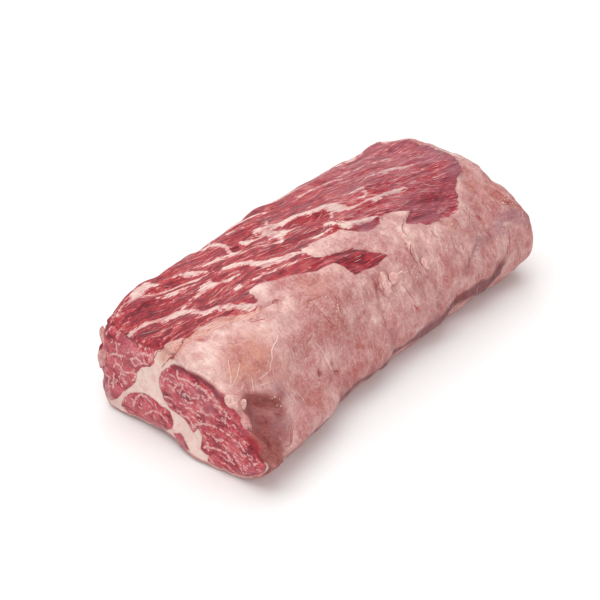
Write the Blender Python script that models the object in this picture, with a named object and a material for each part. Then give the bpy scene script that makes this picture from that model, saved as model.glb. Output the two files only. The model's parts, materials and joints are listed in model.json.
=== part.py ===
"""A raw, boneless beef rib roast: one solid of meat and fat, cut square at both ends.

The roast lies on its flat underside with +Z up. +X runs along it, from the near cut end,
where the eye muscle shows, to the far cut end. The smooth fat cap covers the -Y side and
half of the top, and the bare, streaky meat the other half and the +Y side. The origin is
in the middle of the footprint. Sizes are in millimetres until the mesh is made in metres.
"""

import bpy
import numpy as np

METRES = 0.001

# Each point of the girth: its sideways place and its height, at the near end, the middle
# and the far end of the roast. The points go round once, from the left foot over the top.
GIRTH = {
    "left_foot": ((84, 77, 66), (8, 2, 4)),
    "left_side": ((93, 101, 87), (42, 47, 46)),
    "left_shoulder": ((90, 88, 75), (79, 94, 96)),
    "left_top": ((56, 37, 26), (78, 106, 106)),
    "crown": ((13, -10, -16), (86, 107, 99)),
    "fat_shoulder": ((-42, -52, -56), (75, 91, 76)),
    "fat_flank": ((-72, -74, -86), (49, 56, 59)),
    "fat_toe": ((-102, -86, -95), (25, 22, 26)),
    "right_foot": ((-83, -69, -67), (7, 0, 1)),
    "under_right": ((-28, -28, -28), (1, -4, -1)),
    "under_middle": ((14, 14, 14), (8, -4, 4)),
    "under_left": ((48, 48, 48), (5, -4, 2)),
}
# How many mesh cells follow each point, up to the next one: most on the top.
GIRTH_CELLS = (4, 5, 6, 7, 7, 7, 6, 5, 3, 3, 3, 3)
LENGTH_CELLS = 66
CAP_RINGS = 7

# The waist that the tie left in the fat side.
WAIST_AT, WAIST_REACH, WAIST_DEPTH = 0.42, 0.16, 4.7
WAIST_POINTS = ("fat_flank", "fat_toe", "right_foot")

# The near cut leans back a little; the far cut is domed.
NEAR_X, NEAR_LEAN, NEAR_SKEW, NEAR_MIDDLE_Z = -198.0, 0.10, 0.05, 37.0
FAR_X, FAR_MIDDLE_Y, FAR_MIDDLE_Z = 219.0, -10.0, 42.0
FAR_DOME_Y, FAR_DOME_Z = 0.0022, 0.0052
NEAR_RIM, FAR_RIM = 4.0, 12.0
FACE_MIDDLE = (0.0, 48.0)

# Where the middle of the footprint falls in the sizes above.
FOOTPRINT_MIDDLE = (7.62, 0.05)

# The muscles that stand proud of the fat seams on the cut faces, as (y, z) outlines.
NEAR_MUSCLES = {
    "eye": ((30, 60), (8, 77), (-29, 73), (-67, 47), (-92, 22), (-80, 7), (-46, 4),
            (-34, 24), (0, 36), (20, 49)),
    "cap": ((86, 74), (52, 79), (34, 84), (31, 68), (48, 57), (60, 40), (82, 19),
            (93, 32), (94, 55)),
    "lower": ((58, 25), (46, 37), (28, 37), (6, 24), (2, 14), (30, 9), (50, 12)),
}
FAR_MUSCLES = {
    "eye": ((34, 66), (10, 80), (-28, 74), (-62, 56), (-80, 28), (-58, 10), (-14, 10),
            (20, 20), (38, 42)),
    "cap": ((66, 84), (30, 95), (0, 92), (20, 84), (46, 66), (54, 40), (72, 24), (78, 56)),
    "lower": ((62, 22), (50, 36), (36, 24), (14, 14), (36, 7), (56, 10)),
}
MUSCLE_RISE, MUSCLE_LIP = 3.2, 8.0

# The edge of the fat cap on the top, as sideways place against length, and its step.
CAP_EDGE_X = (-210, -158, -116, -61, -28, 0, 20, 32, 60, 95, 142, 170, 193, 200)
CAP_EDGE_Y = (22, 10, -10, -11, -28, -46, -44, -24, -28, -49, -45, -26, 3, 100)
CAP_STEP, CAP_STEP_WIDTH = 1.6, 6.0
TOP_FROM, TOP_TO = 62.0, 84.0

# Long ridges of muscle fibre on the bare side: wavelength and height of each set.
FIBRE_SLOPE = -0.30
FIBRE_RIDGES = ((41.0, 0.8), (26.0, 0.7), (17.0, 0.45))
FIBRE_WANDER, FIBRE_WANDER_LENGTH = 7.0, 150.0

# The slow swell of the whole skin: its height, and its lengths along and round.
SWELL_HEIGHT = 0.9
SWELL_LENGTHS = ((93.0, 71.0), (57.0, 49.0))

# Lumps and dimples: place (x, y, z), radius and height, down where it is negative.
LUMPS = {
    "knob_by_the_eye": ((-190, -56, 65), 7.0, 5.0),
    "lump_below_it": ((-191, -68, 54), 5.5, 3.0),
    "bump_on_the_cap": ((-186, -15, 85), 5.0, 1.6),
    "nodule_on_the_flank": ((-9, -60, 80), 6.0, 3.2),
    "fold_on_the_flank": ((36, -58, 85), 6.0, 2.4),
    "crumbly_fat": ((10, 2, 108), 9.0, 1.8),
    "notch_of_the_seam": ((-200, 22, 84), 13.0, -4.0),
    "pad_of_the_cap": ((-135, -28, 92), 30.0, 1.6),
    "pocket_by_the_eye": ((-176, -78, 50), 14.0, -3.6),
    "hollow_in_the_cap": ((-60, -40, 92), 26.0, -1.6),
    "far_hollow": ((150, -70, 68), 26.0, -2.0),
    "side_hollow": ((-40, 96, 62), 34.0, -2.6),
    "side_swell": ((70, 92, 60), 38.0, 2.4),
}

# Creases: the points that each follows, its half width and its depth.
CREASES = {
    "hook": (((-120, -12, 96), (-104, -17, 97), (-95, -22, 97), (-103, -30, 94)), 4.0, 1.8),
    "flank": (((-2, -62, 78), (-9, -75, 42), (-7, -80, 20)), 6.0, 3.0),
    "far_flank": (((58, -62, 80), (37, -72, 66), (10, -73, 58)), 5.0, 1.6),
    "far_toe": (((120, -72, 80), (93, -82, 62), (55, -86, 42)), 6.0, 1.8),
    "near_toe": (((-139, -80, 45), (-103, -83, 40), (-60, -76, 46)), 6.0, 1.6),
    "side": (((-150, 98, 34), (-60, 103, 30), (60, 100, 34), (160, 90, 30)), 8.0, 3.0),
}
RELIEF_FROM, RELIEF_TO = 2.0, 12.0

BEEF = (0.55, 0.25, 0.25, 1.0)
BEEF_ROUGHNESS = 0.45


def smooth(low, high, value):
    """Rise smoothly from 0 at low to 1 at high."""
    w = np.clip((value - low) / (high - low), 0.0, 1.0)
    return w * w * (3.0 - 2.0 * w)


def through(sizes, t):
    """The value at t of the parabola through the sizes at the near end, middle and far end."""
    near, middle, far = sizes
    return near * (1 - t) * (1 - 2 * t) + 4 * middle * t * (1 - t) + far * t * (2 * t - 1)


def girth_points(t):
    """The twelve girth points (y, z) of the section at t, the share of the length."""
    points = []
    for name, (sideways, heights) in GIRTH.items():
        y, z = through(sideways, t), through(heights, t)
        if name in WAIST_POINTS:
            y = y + WAIST_DEPTH * np.exp(-(((t - WAIST_AT) / WAIST_REACH) ** 2))
        points.append(np.stack([y, z], axis=-1))
    return points


def section(t):
    """A smooth closed outline through the girth points, as rows of (y, z) at each t."""
    points = girth_points(t)
    rows = []
    for i, cells in enumerate(GIRTH_CELLS):
        before, here = points[i - 1], points[i]
        after, next_but_one = points[(i + 1) % len(points)], points[(i + 2) % len(points)]
        d0, d1, d2 = (
            np.linalg.norm(b - a, axis=-1, keepdims=True)
            for a, b in ((before, here), (here, after), (after, next_but_one))
        )
        chord = (after - here) / d1
        leave = (chord * d0 + (here - before) / d0 * d1) / (d0 + d1) * d1
        arrive = ((next_but_one - after) / d2 * d1 + chord * d2) / (d1 + d2) * d1
        for w in np.arange(cells) / cells:
            rows.append(
                (2 * w**3 - 3 * w**2 + 1) * here
                + (w**3 - 2 * w**2 + w) * leave
                + (3 * w**2 - 2 * w**3) * after
                + (w**3 - w**2) * arrive
            )
    outline = np.array(rows)
    outline[..., 1] = np.maximum(outline[..., 1], 0.0)
    return outline


def near_plane(y, z):
    return NEAR_X + NEAR_LEAN * (z - NEAR_MIDDLE_Z) + NEAR_SKEW * y


def far_dome(y, z):
    return FAR_X - FAR_DOME_Z * (z - FAR_MIDDLE_Z) ** 2 - FAR_DOME_Y * (y - FAR_MIDDLE_Y) ** 2


def distance_to_path(points, path):
    """Distance from each point to a path of straight runs, in any number of dimensions."""
    best = np.full(len(points), np.inf)
    for start, end in zip(path[:-1], path[1:]):
        start, end = np.array(start, float), np.array(end, float)
        run = end - start
        share = np.clip((points - start) @ run / (run @ run), 0.0, 1.0)
        best = np.minimum(best, np.linalg.norm(points - start - share[:, None] * run, axis=1))
    return best


def depth_inside(points, outline):
    """Distance from a closed outline, positive inside it."""
    closed = list(outline) + [outline[0]]
    inside = np.zeros(len(points), bool)
    for (y0, z0), (y1, z1) in zip(closed[:-1], closed[1:]):
        crosses = (z0 > points[:, 1]) != (z1 > points[:, 1])
        rise = z1 - z0 if z1 != z0 else 1.0
        inside ^= crosses & (points[:, 0] < (y1 - y0) * (points[:, 1] - z0) / rise + y0)
    return np.where(inside, 1.0, -1.0) * distance_to_path(points, closed)


def muscle_rise(places, muscles):
    """How far the muscles of a cut face stand out of its seams of fat."""
    rise = np.zeros(len(places))
    for outline in muscles.values():
        depth = depth_inside(places, outline)
        rise = np.maximum(rise, MUSCLE_RISE * smooth(-MUSCLE_LIP / 2, MUSCLE_LIP / 2, depth))
    return rise


def skin_relief(points):
    """Height of the relief of the sides and top at each point."""
    x, y, z = points.T
    bare = smooth(-CAP_STEP_WIDTH / 2, CAP_STEP_WIDTH / 2, y - np.interp(x, CAP_EDGE_X, CAP_EDGE_Y))
    bare = bare * np.maximum(smooth(TOP_FROM, TOP_TO, z), smooth(40.0, 60.0, y))
    height = -CAP_STEP * bare

    wander = FIBRE_WANDER * np.sin(2 * np.pi * x / FIBRE_WANDER_LENGTH)
    across = y + z * np.sign(y) * -0.4 - FIBRE_SLOPE * x + wander
    for number, (wavelength, ridge) in enumerate(FIBRE_RIDGES):
        height += bare * ridge * np.sin(2 * np.pi * across / wavelength + number + x / 60.0)
    for number, (along, round_it) in enumerate(SWELL_LENGTHS):
        height += SWELL_HEIGHT * np.sin(x / along * 2 * np.pi + number) * np.cos(
            (y - z) / round_it * 2 * np.pi + 2 * number
        )
    for place, radius, rise in LUMPS.values():
        away = np.linalg.norm(points - np.array(place, float), axis=1)
        height += rise * np.exp(-((away / radius) ** 2))
    for path, half_width, depth in CREASES.values():
        height -= depth * np.exp(-((distance_to_path(points, path) / half_width) ** 2))
    return height * smooth(RELIEF_FROM, RELIEF_TO, z)


def end_share(distance, radius):
    """How far a rounded rim draws the outline in, at a distance along from the cut."""
    left = np.clip(radius - distance, 0.0, radius)
    return radius - np.sqrt(radius**2 - left**2)


def length_shares():
    """Shares of the length for the rings, closer together where the rims are round."""
    even = np.linspace(0.0, 1.0, LENGTH_CELLS - 5)
    near = np.array([0.25, 0.6]) * NEAR_RIM / 400.0
    far = 1.0 - np.array([0.07, 0.3, 0.7]) * FAR_RIM / 400.0
    return np.unique(np.concatenate([even, near, far, [1.0 - FAR_RIM * 1.1 / 400.0]]))


def along_at(t, outline):
    """Place along the roast of each outline point, between its two cut faces."""
    y, z = outline[..., 0], outline[..., 1]
    return (1 - t) * near_plane(y, z) + t * far_dome(y, z)


def loft():
    """Rings of points along the roast, shaped (ring, point, xyz), with the relief on."""
    t = length_shares()
    outline = section(t)
    length = FAR_X - NEAR_X
    draw_in = end_share(t * length, NEAR_RIM) + end_share((1 - t) * length, FAR_RIM)
    out = outline - np.array(FACE_MIDDLE)
    reach = np.linalg.norm(out, axis=-1, keepdims=True)
    outline = outline - out / reach * draw_in[:, None]
    rings = np.concatenate([along_at(t, outline)[..., None], outline], axis=-1)
    rings = rings.transpose(1, 0, 2)

    along = np.gradient(rings, axis=0)
    around = np.roll(rings, -1, axis=1) - np.roll(rings, 1, axis=1)
    outward = np.cross(around, along)
    outward /= np.linalg.norm(outward, axis=-1, keepdims=True)
    relief = skin_relief(rings.reshape(-1, 3)).reshape(rings.shape[:2])
    return rings + outward * relief[..., None]


def cap_rings(rim, surface, muscles, outward):
    """Rings that close an end, from its rim to its middle, with the muscles raised."""
    centre = np.array(FACE_MIDDLE)
    rings = []
    for share in 1.0 - np.arange(1, CAP_RINGS + 1) / (CAP_RINGS + 1):
        places = centre + share * (rim[:, 1:] - centre)
        rise = muscle_rise(places, muscles) * smooth(1.0, 0.86, share)
        step = surface(places[:, 0], places[:, 1]) + outward * rise
        rings.append(np.column_stack([step, places]))
    return rings


def ring_faces(first, second, count):
    """Quads between two rings of the same count, given by their first vertex numbers."""
    for i in range(count):
        j = (i + 1) % count
        yield (first + i, first + j, second + j, second + i)


def build_roast():
    """Make the roast's mesh in metres, in the middle of its footprint, and its object."""
    sides = loft()
    count = sides.shape[1]
    near = cap_rings(sides[0], near_plane, NEAR_MUSCLES, -1.0)
    far = cap_rings(sides[-1], far_dome, FAR_MUSCLES, 1.0)
    rings = near[::-1] + list(sides) + far
    tips = [near[-1].mean(axis=0), far[-1].mean(axis=0)]

    points = np.concatenate([np.concatenate(rings), tips])
    points[:, 2] = np.maximum(points[:, 2], 0.0)
    points[:, :2] -= FOOTPRINT_MIDDLE
    faces = []
    for number in range(len(rings) - 1):
        faces.extend(ring_faces(number * count, (number + 1) * count, count))
    near_tip, far_tip = len(points) - 2, len(points) - 1
    last = (len(rings) - 1) * count
    for i in range(count):
        j = (i + 1) % count
        faces.append((near_tip, j, i))
        faces.append((far_tip, last + i, last + j))

    mesh = bpy.data.meshes.new("rib_roast")
    mesh.from_pydata((points * METRES).tolist(), [], faces)
    mesh.update()
    mesh.shade_smooth()
    roast = bpy.data.objects.new("rib_roast", mesh)
    bpy.context.collection.objects.link(roast)
    roast.data.materials.append(beef_material())
    return roast


def beef_material():
    """Raw beef: moist red meat under pale pink fat, with a soft shine."""
    material = bpy.data.materials.new("raw_beef")
    material.use_nodes = True
    shader = material.node_tree.nodes["Principled BSDF"]
    shader.inputs["Base Color"].default_value = BEEF
    shader.inputs["Roughness"].default_value = BEEF_ROUGHNESS
    shader.inputs["Metallic"].default_value = 0.0
    return material


def main():
    for old in list(bpy.data.objects):
        bpy.data.objects.remove(old, do_unlink=True)
    build_roast()


main()
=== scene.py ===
"""A raw, boneless beef rib roast, with its fat cap, its streaky bare meat and its cut faces.

The roast lies along X, on the frame's own place. Its form repeats the solid's named sizes
with finer cells, and adds the low relief, the streaks of fat, the threads of sinew, the knobs
and the crumbs of fat. Sizes are in millimetres until a mesh is made; the properties are in
metres.
"""

import json
import math

import bpy
import numpy as np
from bpy.props import FloatProperty, FloatVectorProperty, IntProperty, PointerProperty
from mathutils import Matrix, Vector
from mathutils.bvhtree import BVHTree
from mathutils.geometry import delaunay_2d_cdt

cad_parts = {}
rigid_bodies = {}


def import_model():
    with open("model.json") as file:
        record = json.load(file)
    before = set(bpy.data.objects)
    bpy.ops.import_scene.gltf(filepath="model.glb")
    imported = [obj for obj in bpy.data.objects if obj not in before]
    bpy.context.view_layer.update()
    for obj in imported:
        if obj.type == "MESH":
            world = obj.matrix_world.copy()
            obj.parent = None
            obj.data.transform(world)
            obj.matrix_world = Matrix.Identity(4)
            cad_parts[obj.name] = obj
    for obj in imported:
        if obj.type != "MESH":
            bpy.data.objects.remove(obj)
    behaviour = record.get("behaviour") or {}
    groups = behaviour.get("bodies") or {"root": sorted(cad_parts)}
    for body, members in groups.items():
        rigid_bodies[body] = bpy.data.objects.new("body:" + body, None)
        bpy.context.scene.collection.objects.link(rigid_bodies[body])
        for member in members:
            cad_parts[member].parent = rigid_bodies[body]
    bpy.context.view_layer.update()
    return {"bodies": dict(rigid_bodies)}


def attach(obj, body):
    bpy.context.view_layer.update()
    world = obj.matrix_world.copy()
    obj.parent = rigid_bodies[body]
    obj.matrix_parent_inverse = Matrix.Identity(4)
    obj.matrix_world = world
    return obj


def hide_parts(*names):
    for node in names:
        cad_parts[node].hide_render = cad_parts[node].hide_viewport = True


bl_info = {
    "name": "Raw Rib Roast",
    "version": (1, 0, 0),
    "blender": (4, 5, 0),
    "location": "3D View > Sidebar > Roast",
    "description": "Builds a raw beef rib roast with its fat cap, streaky meat and cut faces",
    "category": "Add Mesh",
}

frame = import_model()
BODY = next(iter(frame["bodies"]))
NODE = "rib_roast"
METRES = 0.001

# Each point of the girth: its sideways place and its height, at the near end, the middle
# and the far end of the roast. The points go round once, from the left foot over the top.
GIRTH = {
    "left_foot": ((85, 77, 66), (4, 2, 4)),
    "left_side": ((93, 101, 87), (42, 47, 46)),
    "left_shoulder": ((90, 88, 75), (79, 94, 96)),
    "left_top": ((56, 37, 26), (78, 106, 106)),
    "crown": ((13, -10, -16), (86, 107, 99)),
    "fat_shoulder": ((-42, -52, -56), (75, 91, 76)),
    "fat_flank": ((-72, -74, -86), (49, 56, 59)),
    "fat_toe": ((-102, -86, -95), (25, 22, 26)),
    "right_foot": ((-83, -69, -67), (7, 0, 1)),
    "under_right": ((-28, -28, -28), (1, -4, -1)),
    "under_middle": ((14, 14, 14), (4, -4, 4)),
    "under_left": ((48, 48, 48), (2, -4, 2)),
}
# Cells of the mesh between one girth point and the next, and along the whole roast, and the
# width of a cell of each cut face.
GIRTH_CELLS = (20, 24, 32, 36, 36, 34, 28, 20, 14, 14, 12, 12)
LENGTH_CELLS = 248
FACE_CELL = {"near": 0.9, "far": 1.6}
# Rings added at the rims, as shares of each rim's radius from its end.
NEAR_RIM_RINGS, FAR_RIM_RINGS = (0.06, 0.15), (0.01, 0.04, 0.09)
# The grid of a cut face: how far apart its rows are and how near its rim it comes, in cells.
ROW_RISE, RIM_GAP = 0.866, 0.6

# The waist of the fat side: where along the roast, over what share of it and how deep.
WAIST_AT, WAIST_REACH, WAIST_DEPTH = 0.42, 0.16, 4.7
WAIST_POINTS = ("fat_flank", "fat_toe", "right_foot")
# The near cut is a plane that leans and is a little skew.
NEAR_X, NEAR_LEAN, NEAR_SKEW, NEAR_MIDDLE_Z = -198.0, 0.10, 0.05, 37.0
# The foot of the near face reaches out: where, how wide, how high and how far.
NEAR_TOE_Y, NEAR_TOE_WIDTH, NEAR_TOE_TOP, NEAR_TOE = -22.0, 26.0, 30.0, 6.0
# The far cut is domed: its furthest place, the middle of its dome and how fast it falls away.
FAR_X, FAR_MIDDLE_Y, FAR_MIDDLE_Z = 219.0, -10.0, 42.0
FAR_DOME_Y, FAR_DOME_Z = 0.0022, 0.0052
# The place (y, z) that the rims are rounded towards.
FACE_MIDDLE = (0.0, 48.0)
# The middle of the footprint, which is the frame's origin.
FOOTPRINT_MIDDLE = np.array([7.62, 0.05, 0.0])

# The muscles of the cut faces, as (y, z) outlines. What lies between them is fat.
NEAR_MUSCLES = {
    "eye": ((21, 55), (18, 62), (12, 69), (4, 73), (-8, 74), (-22, 71), (-35, 68), (-49, 65),
            (-61, 58), (-70, 51), (-80, 41), (-90, 34), (-96, 28), (-95, 18), (-86, 6),
            (-75, 2), (-61, 0), (-47, 0), (-38, 3), (-38, 11), (-30, 14), (-29, 24),
            (-25, 29), (-20, 23), (-11, 29), (-1, 33), (8, 34), (15, 40), (20, 47)),
    "cap": ((26, 83), (27, 75), (25, 68), (30, 62), (39, 58), (45, 50), (46, 41), (53, 32),
            (63, 22), (68, 14), (77, 8), (92, 8), (96, 22), (98, 40), (98, 62), (92, 76),
            (70, 84), (40, 90), (27, 92)),
    "lower": ((61, 18), (53, 27), (42, 32), (31, 35), (22, 33), (13, 31), (6, 31), (2, 25),
              (2, 17), (11, 10), (24, 7), (34, 6), (46, 4), (56, 4), (64, 9)),
    "tip": ((1, 14), (-7, 17), (-13, 14), (-20, 8), (-12, 4), (-4, 4)),
}
FAR_MUSCLES = {
    "eye": ((34, 66), (10, 80), (-28, 74), (-62, 56), (-80, 28), (-58, 8), (-14, 8),
            (20, 20), (38, 42)),
    "cap": ((70, 90), (30, 100), (0, 96), (20, 84), (46, 66), (54, 40), (72, 24), (84, 56)),
    "lower": ((62, 22), (50, 36), (36, 24), (14, 12), (36, 5), (58, 6)),
}
# How wide the slope round a muscle is, and how far in from the rim a cut face is still smooth.
MUSCLE_LIP, FACE_CALM = 8.0, 7.0

# The bare meat on the top, as an (x, y) outline that runs on past the +Y side and the ends.
BARE_TOP = (
    (-215, 25), (-188, 22), (-180, 13), (-172, 7), (-161, 8), (-150, 3), (-141, 0), (-135, -7),
    (-125, -14), (-117, -15), (-112, -13), (-109, -12), (-108, -6), (-107, 0), (-99, 1),
    (-90, 1), (-82, -3), (-74, -7), (-65, -12), (-58, -18), (-47, -24), (-35, -26), (-27, -29),
    (-24, -36), (-25, -44), (-22, -47), (-13, -48), (-4, -50), (8, -51), (19, -50), (15, -45),
    (8, -40), (4, -34), (-1, -29), (-7, -25), (-14, -23), (-21, -20), (-29, -17), (-35, -14),
    (-36, -7), (-36, -1), (-34, 3), (-29, 1), (-20, 0), (-9, -3), (0, -5), (8, -6), (15, -13),
    (21, -19), (26, -23), (35, -24), (46, -23), (51, -19), (57, -18), (67, -21), (78, -26),
    (83, -30), (72, -34), (68, -38), (79, -42), (86, -48), (99, -49), (111, -51), (123, -51),
    (135, -48), (145, -41), (163, -27), (180, -21), (187, -10), (192, 0), (190, 18), (186, 34),
    (178, 52), (176, 80), (186, 140), (-215, 140),
)
# The streaks of fat that lie in it. Each is a run of (x, y, half width).
STREAKS = (
    ((-190, 60, 2.6), (-181, 58, 3.2), (-171, 55, 3.5), (-164, 49, 3.8), (-157, 43, 3.9),
     (-151, 38, 4.7), (-148, 32, 4.5), (-145, 25, 3.6), (-144, 16, 4.8), (-138, 14, 5.0),
     (-135, 7, 2.5), (-126, -1, 1.9), (-118, -8, 1.8), (-109, -14, 1.7)),
    ((-179, 81, 1.2), (-168, 83, 2.6), (-158, 82, 3.5), (-146, 84, 4.2), (-137, 85, 4.0),
     (-135, 80, 3.0)),
    ((-117, 72, 1.4), (-111, 68, 2.5), (-105, 66, 2.8), (-100, 62, 2.3), (-95, 56, 1.7)),
    ((-132, 43, 1.2), (-124, 41, 2.1), (-115, 42, 3.4), (-109, 40, 4.4), (-105, 36, 2.6)),
    ((-144, 42, 1.1), (-134, 41, 1.1), (-125, 41, 1.1)),
    ((-87, 42, 1.9), (-81, 40, 2.3), (-75, 36, 2.5), (-71, 30, 2.9), (-69, 23, 4.1),
     (-68, 16, 5.3), (-63, 14, 4.3), (-56, 12, 4.4), (-51, 8, 3.6), (-44, 5, 2.9),
     (-38, -1, 3.0), (-31, -5, 3.4)),
    ((-101, 33, 1.9), (-98, 29, 2.4), (-91, 30, 2.0), (-88, 27, 1.4)),
    ((-106, 16, 1.9), (-101, 15, 1.4)),
    ((-74, 86, 1.6), (-69, 84, 2.4), (-62, 76, 1.9), (-58, 69, 1.9), (-61, 61, 2.1),
     (-60, 55, 1.4)),
    ((-43, 77, 1.5), (-37, 74, 1.9), (-32, 70, 1.2)),
    ((-46, 60, 1.5), (-42, 54, 1.9), (-36, 51, 1.5), (-28, 50, 2.1)),
    ((-30, 57, 2.4), (-21, 51, 4.9), (-21, 42, 4.2), (-22, 35, 3.2), (-28, 29, 1.7),
     (-33, 26, 1.2)),
    ((-21, 51, 1.8), (-10, 60, 0.7)),
    ((-25, 44, 1.6), (-32, 39, 0.9)),
    ((-20, 53, 2.2), (-9, 46, 2.4), (-2, 43, 2.3), (4, 40, 2.7), (11, 37, 2.5), (18, 31, 1.6)),
    ((-17, 40, 2.5), (-8, 32, 2.5), (0, 28, 1.2)),
    ((8, 36, 1.4), (18, 33, 1.8), (23, 30, 2.8), (30, 27, 4.7), (36, 22, 5.2), (42, 16, 4.0),
     (48, 11, 2.7), (56, 7, 2.5), (65, 5, 3.6), (70, 3, 4.6), (76, 1, 3.5), (83, 1, 2.5),
     (92, 0, 2.7), (99, -2, 2.4), (110, -6, 1.2)),
    ((33, 21, 1.8), (24, 14, 0.9)),
    ((38, 63, 0.8), (55, 59, 1.5), (67, 55, 1.7), (76, 52, 1.6), (86, 47, 0.9)),
    ((60, 29, 1.2), (69, 23, 1.7), (76, 18, 2.0), (74, 13, 1.0)),
    ((9, 10, 1.6), (14, 5, 2.6), (15, -1, 4.7), (19, -5, 5.4), (27, -7, 2.8), (41, -14, 1.6),
     (54, -19, 1.2)),
    ((-6, 3, 1.0), (4, 0, 1.0)),
    ((-24, 13, 1.0), (-14, 6, 1.2), (-6, 2, 0.8)),
    ((-88, 9, 0.8), (-69, 5, 1.1), (-48, -4, 0.8)),
    ((-64, 47, 1.0), (-47, 38, 1.4), (-34, 28, 0.9)),
    ((-90, 65, 1.0), (-69, 60, 1.5), (-52, 52, 1.0)),
    ((93, 32, 0.9), (121, 25, 1.4), (150, 14, 0.8)),
    ((100, 56, 0.8), (124, 46, 1.2), (148, 40, 0.8)),
    ((-148, 66, 1.2), (-134, 58, 1.8), (-117, 51, 0.8)),
    ((-157, 79, 1.2), (-138, 70, 2.0), (-118, 60, 1.5), (-94, 52, 0.8)),
    ((-60, 92, 1.0), (-30, 84, 1.8), (6, 70, 1.0)),
    ((-10, 92, 1.0), (30, 82, 1.6), (70, 70, 0.9)),
    ((60, 94, 1.0), (104, 82, 1.8), (146, 70, 0.9)),
)
# How far a streak stands up, over what edge, and the height above which streaks lie. The
# depth where there is none is far outside any streak.
STREAK_RISE, STREAK_EDGE, STREAKS_ABOVE, NO_STREAK = 0.5, (-1.0, 1.5), 55.0, -60.0
# How wide the step down from the fat cap to the bare meat is.
CAP_STEP_WIDTH = 5.0
# On the +Y side the bare meat starts between two heights, and its depth grows this fast.
SIDE_BARE_FROM, SIDE_BARE_TO, SIDE_DEPTH_RATE = 12.0, 30.0, 0.8
# The side takes over from the top between these places across.
SIDE_FROM_Y, SIDE_TO_Y = 40.0, 60.0
# The top's outline counts above one height, and its relief fades in between two.
TOP_ABOVE, TOP_FROM, TOP_TO = 40.0, 62.0, 84.0
# A crease or a stain reaches no further than this through the meat.
THROUGH_MEAT = 12.0

# The fibre of the bare meat: its slope in plan, and how far and how slowly it wanders.
FIBRE_SLOPE = -0.30
FIBRE_TURN = math.atan(FIBRE_SLOPE)
FIBRE_WANDER, FIBRE_WANDER_LENGTH = 7.0, 150.0
# Long ridges along it: how far apart and how high, their lean and how slowly they drift.
FIBRE_RIDGES = ((41.0, 0.8), (26.0, 0.7), (17.0, 0.45))
RIDGE_LEAN, RIDGE_DRIFT = -0.4, 60.0
# Finer bundles of fibre: how long, how wide and how high, and how much deeper than wide.
FIBRE_BUNDLES = ((46.0, 7.0, 1.6), (30.0, 3.8, 1.0), (16.0, 2.4, 0.5))
BUNDLE_DEPTH = 1.4
# The slow swell of the skin: its lengths along and round the roast.
SWELL_LENGTHS = ((93.0, 71.0), (57.0, 49.0))
# The uneven skin of the fat: the size of each set of bumps and its height.
FAT_BUMPS = ((26.0, 1.8), (11.0, 1.1), (5.0, 0.5), (2.8, 0.2))
# The same for the cut faces: bumps in the meat, and the waves that the knife left.
FACE_BUMPS = ((38.0, 1.0), (9.0, 0.7), (3.4, 0.3))
CUT_WAVES = ((24.0, 1.1), (9.0, 0.5))
# Where each layer of that relief is taken from in the noise, so that no two are alike.
BUNDLE_SHIFT, BUMP_SHIFT, BUMP_START, FACE_SHIFT, FACE_START = 7.3, 5.1, 2.0, 3.7, 50.0
NEAR_SHIFT, FAR_SHIFT = 10.0, 90.0
# How far the rim of the near cut is nibbled, over what length, and the size of the nibbles.
NIBBLE, NIBBLE_REACH, NIBBLE_SIZE = 1.8, 6.0, 10.0
FINE_NIBBLE, FINE_NIBBLE_SIZE = 0.6, 4.0
# How much rounder the near rim is where the fat cap lies over the eye, and where that is.
CAP_ROUNDING, CAP_RIM_Y, CAP_RIM_REACH, CAP_RIM_HEIGHTS = 1.2, -20.0, 40.0, (55.0, 75.0)

# Lumps and dimples that the solid has too: place (x, y, z), radius and height, down where it
# is negative.
LUMPS = {
    "knob_by_the_eye": ((-190, -56, 65), 7.0, 5.0),
    "lump_below_it": ((-191, -68, 54), 5.5, 3.0),
    "bump_on_the_cap": ((-186, -15, 85), 5.0, 1.6),
    "nodule_on_the_flank": ((-9, -60, 80), 6.0, 3.2),
    "fold_on_the_flank": ((36, -58, 85), 6.0, 2.4),
    "crumbly_fat": ((10, 2, 108), 9.0, 1.8),
    "notch_of_the_seam": ((-200, 22, 84), 13.0, -4.0),
    "pad_of_the_cap": ((-135, -28, 92), 30.0, 1.6),
    "pocket_by_the_eye": ((-176, -78, 50), 14.0, -3.6),
    "hollow_in_the_cap": ((-60, -40, 92), 26.0, -1.6),
    "far_hollow": ((150, -70, 68), 26.0, -2.0),
    "side_hollow": ((-40, 96, 62), 34.0, -2.6),
    "side_swell": ((70, 92, 60), 38.0, 2.4),
}
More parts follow.
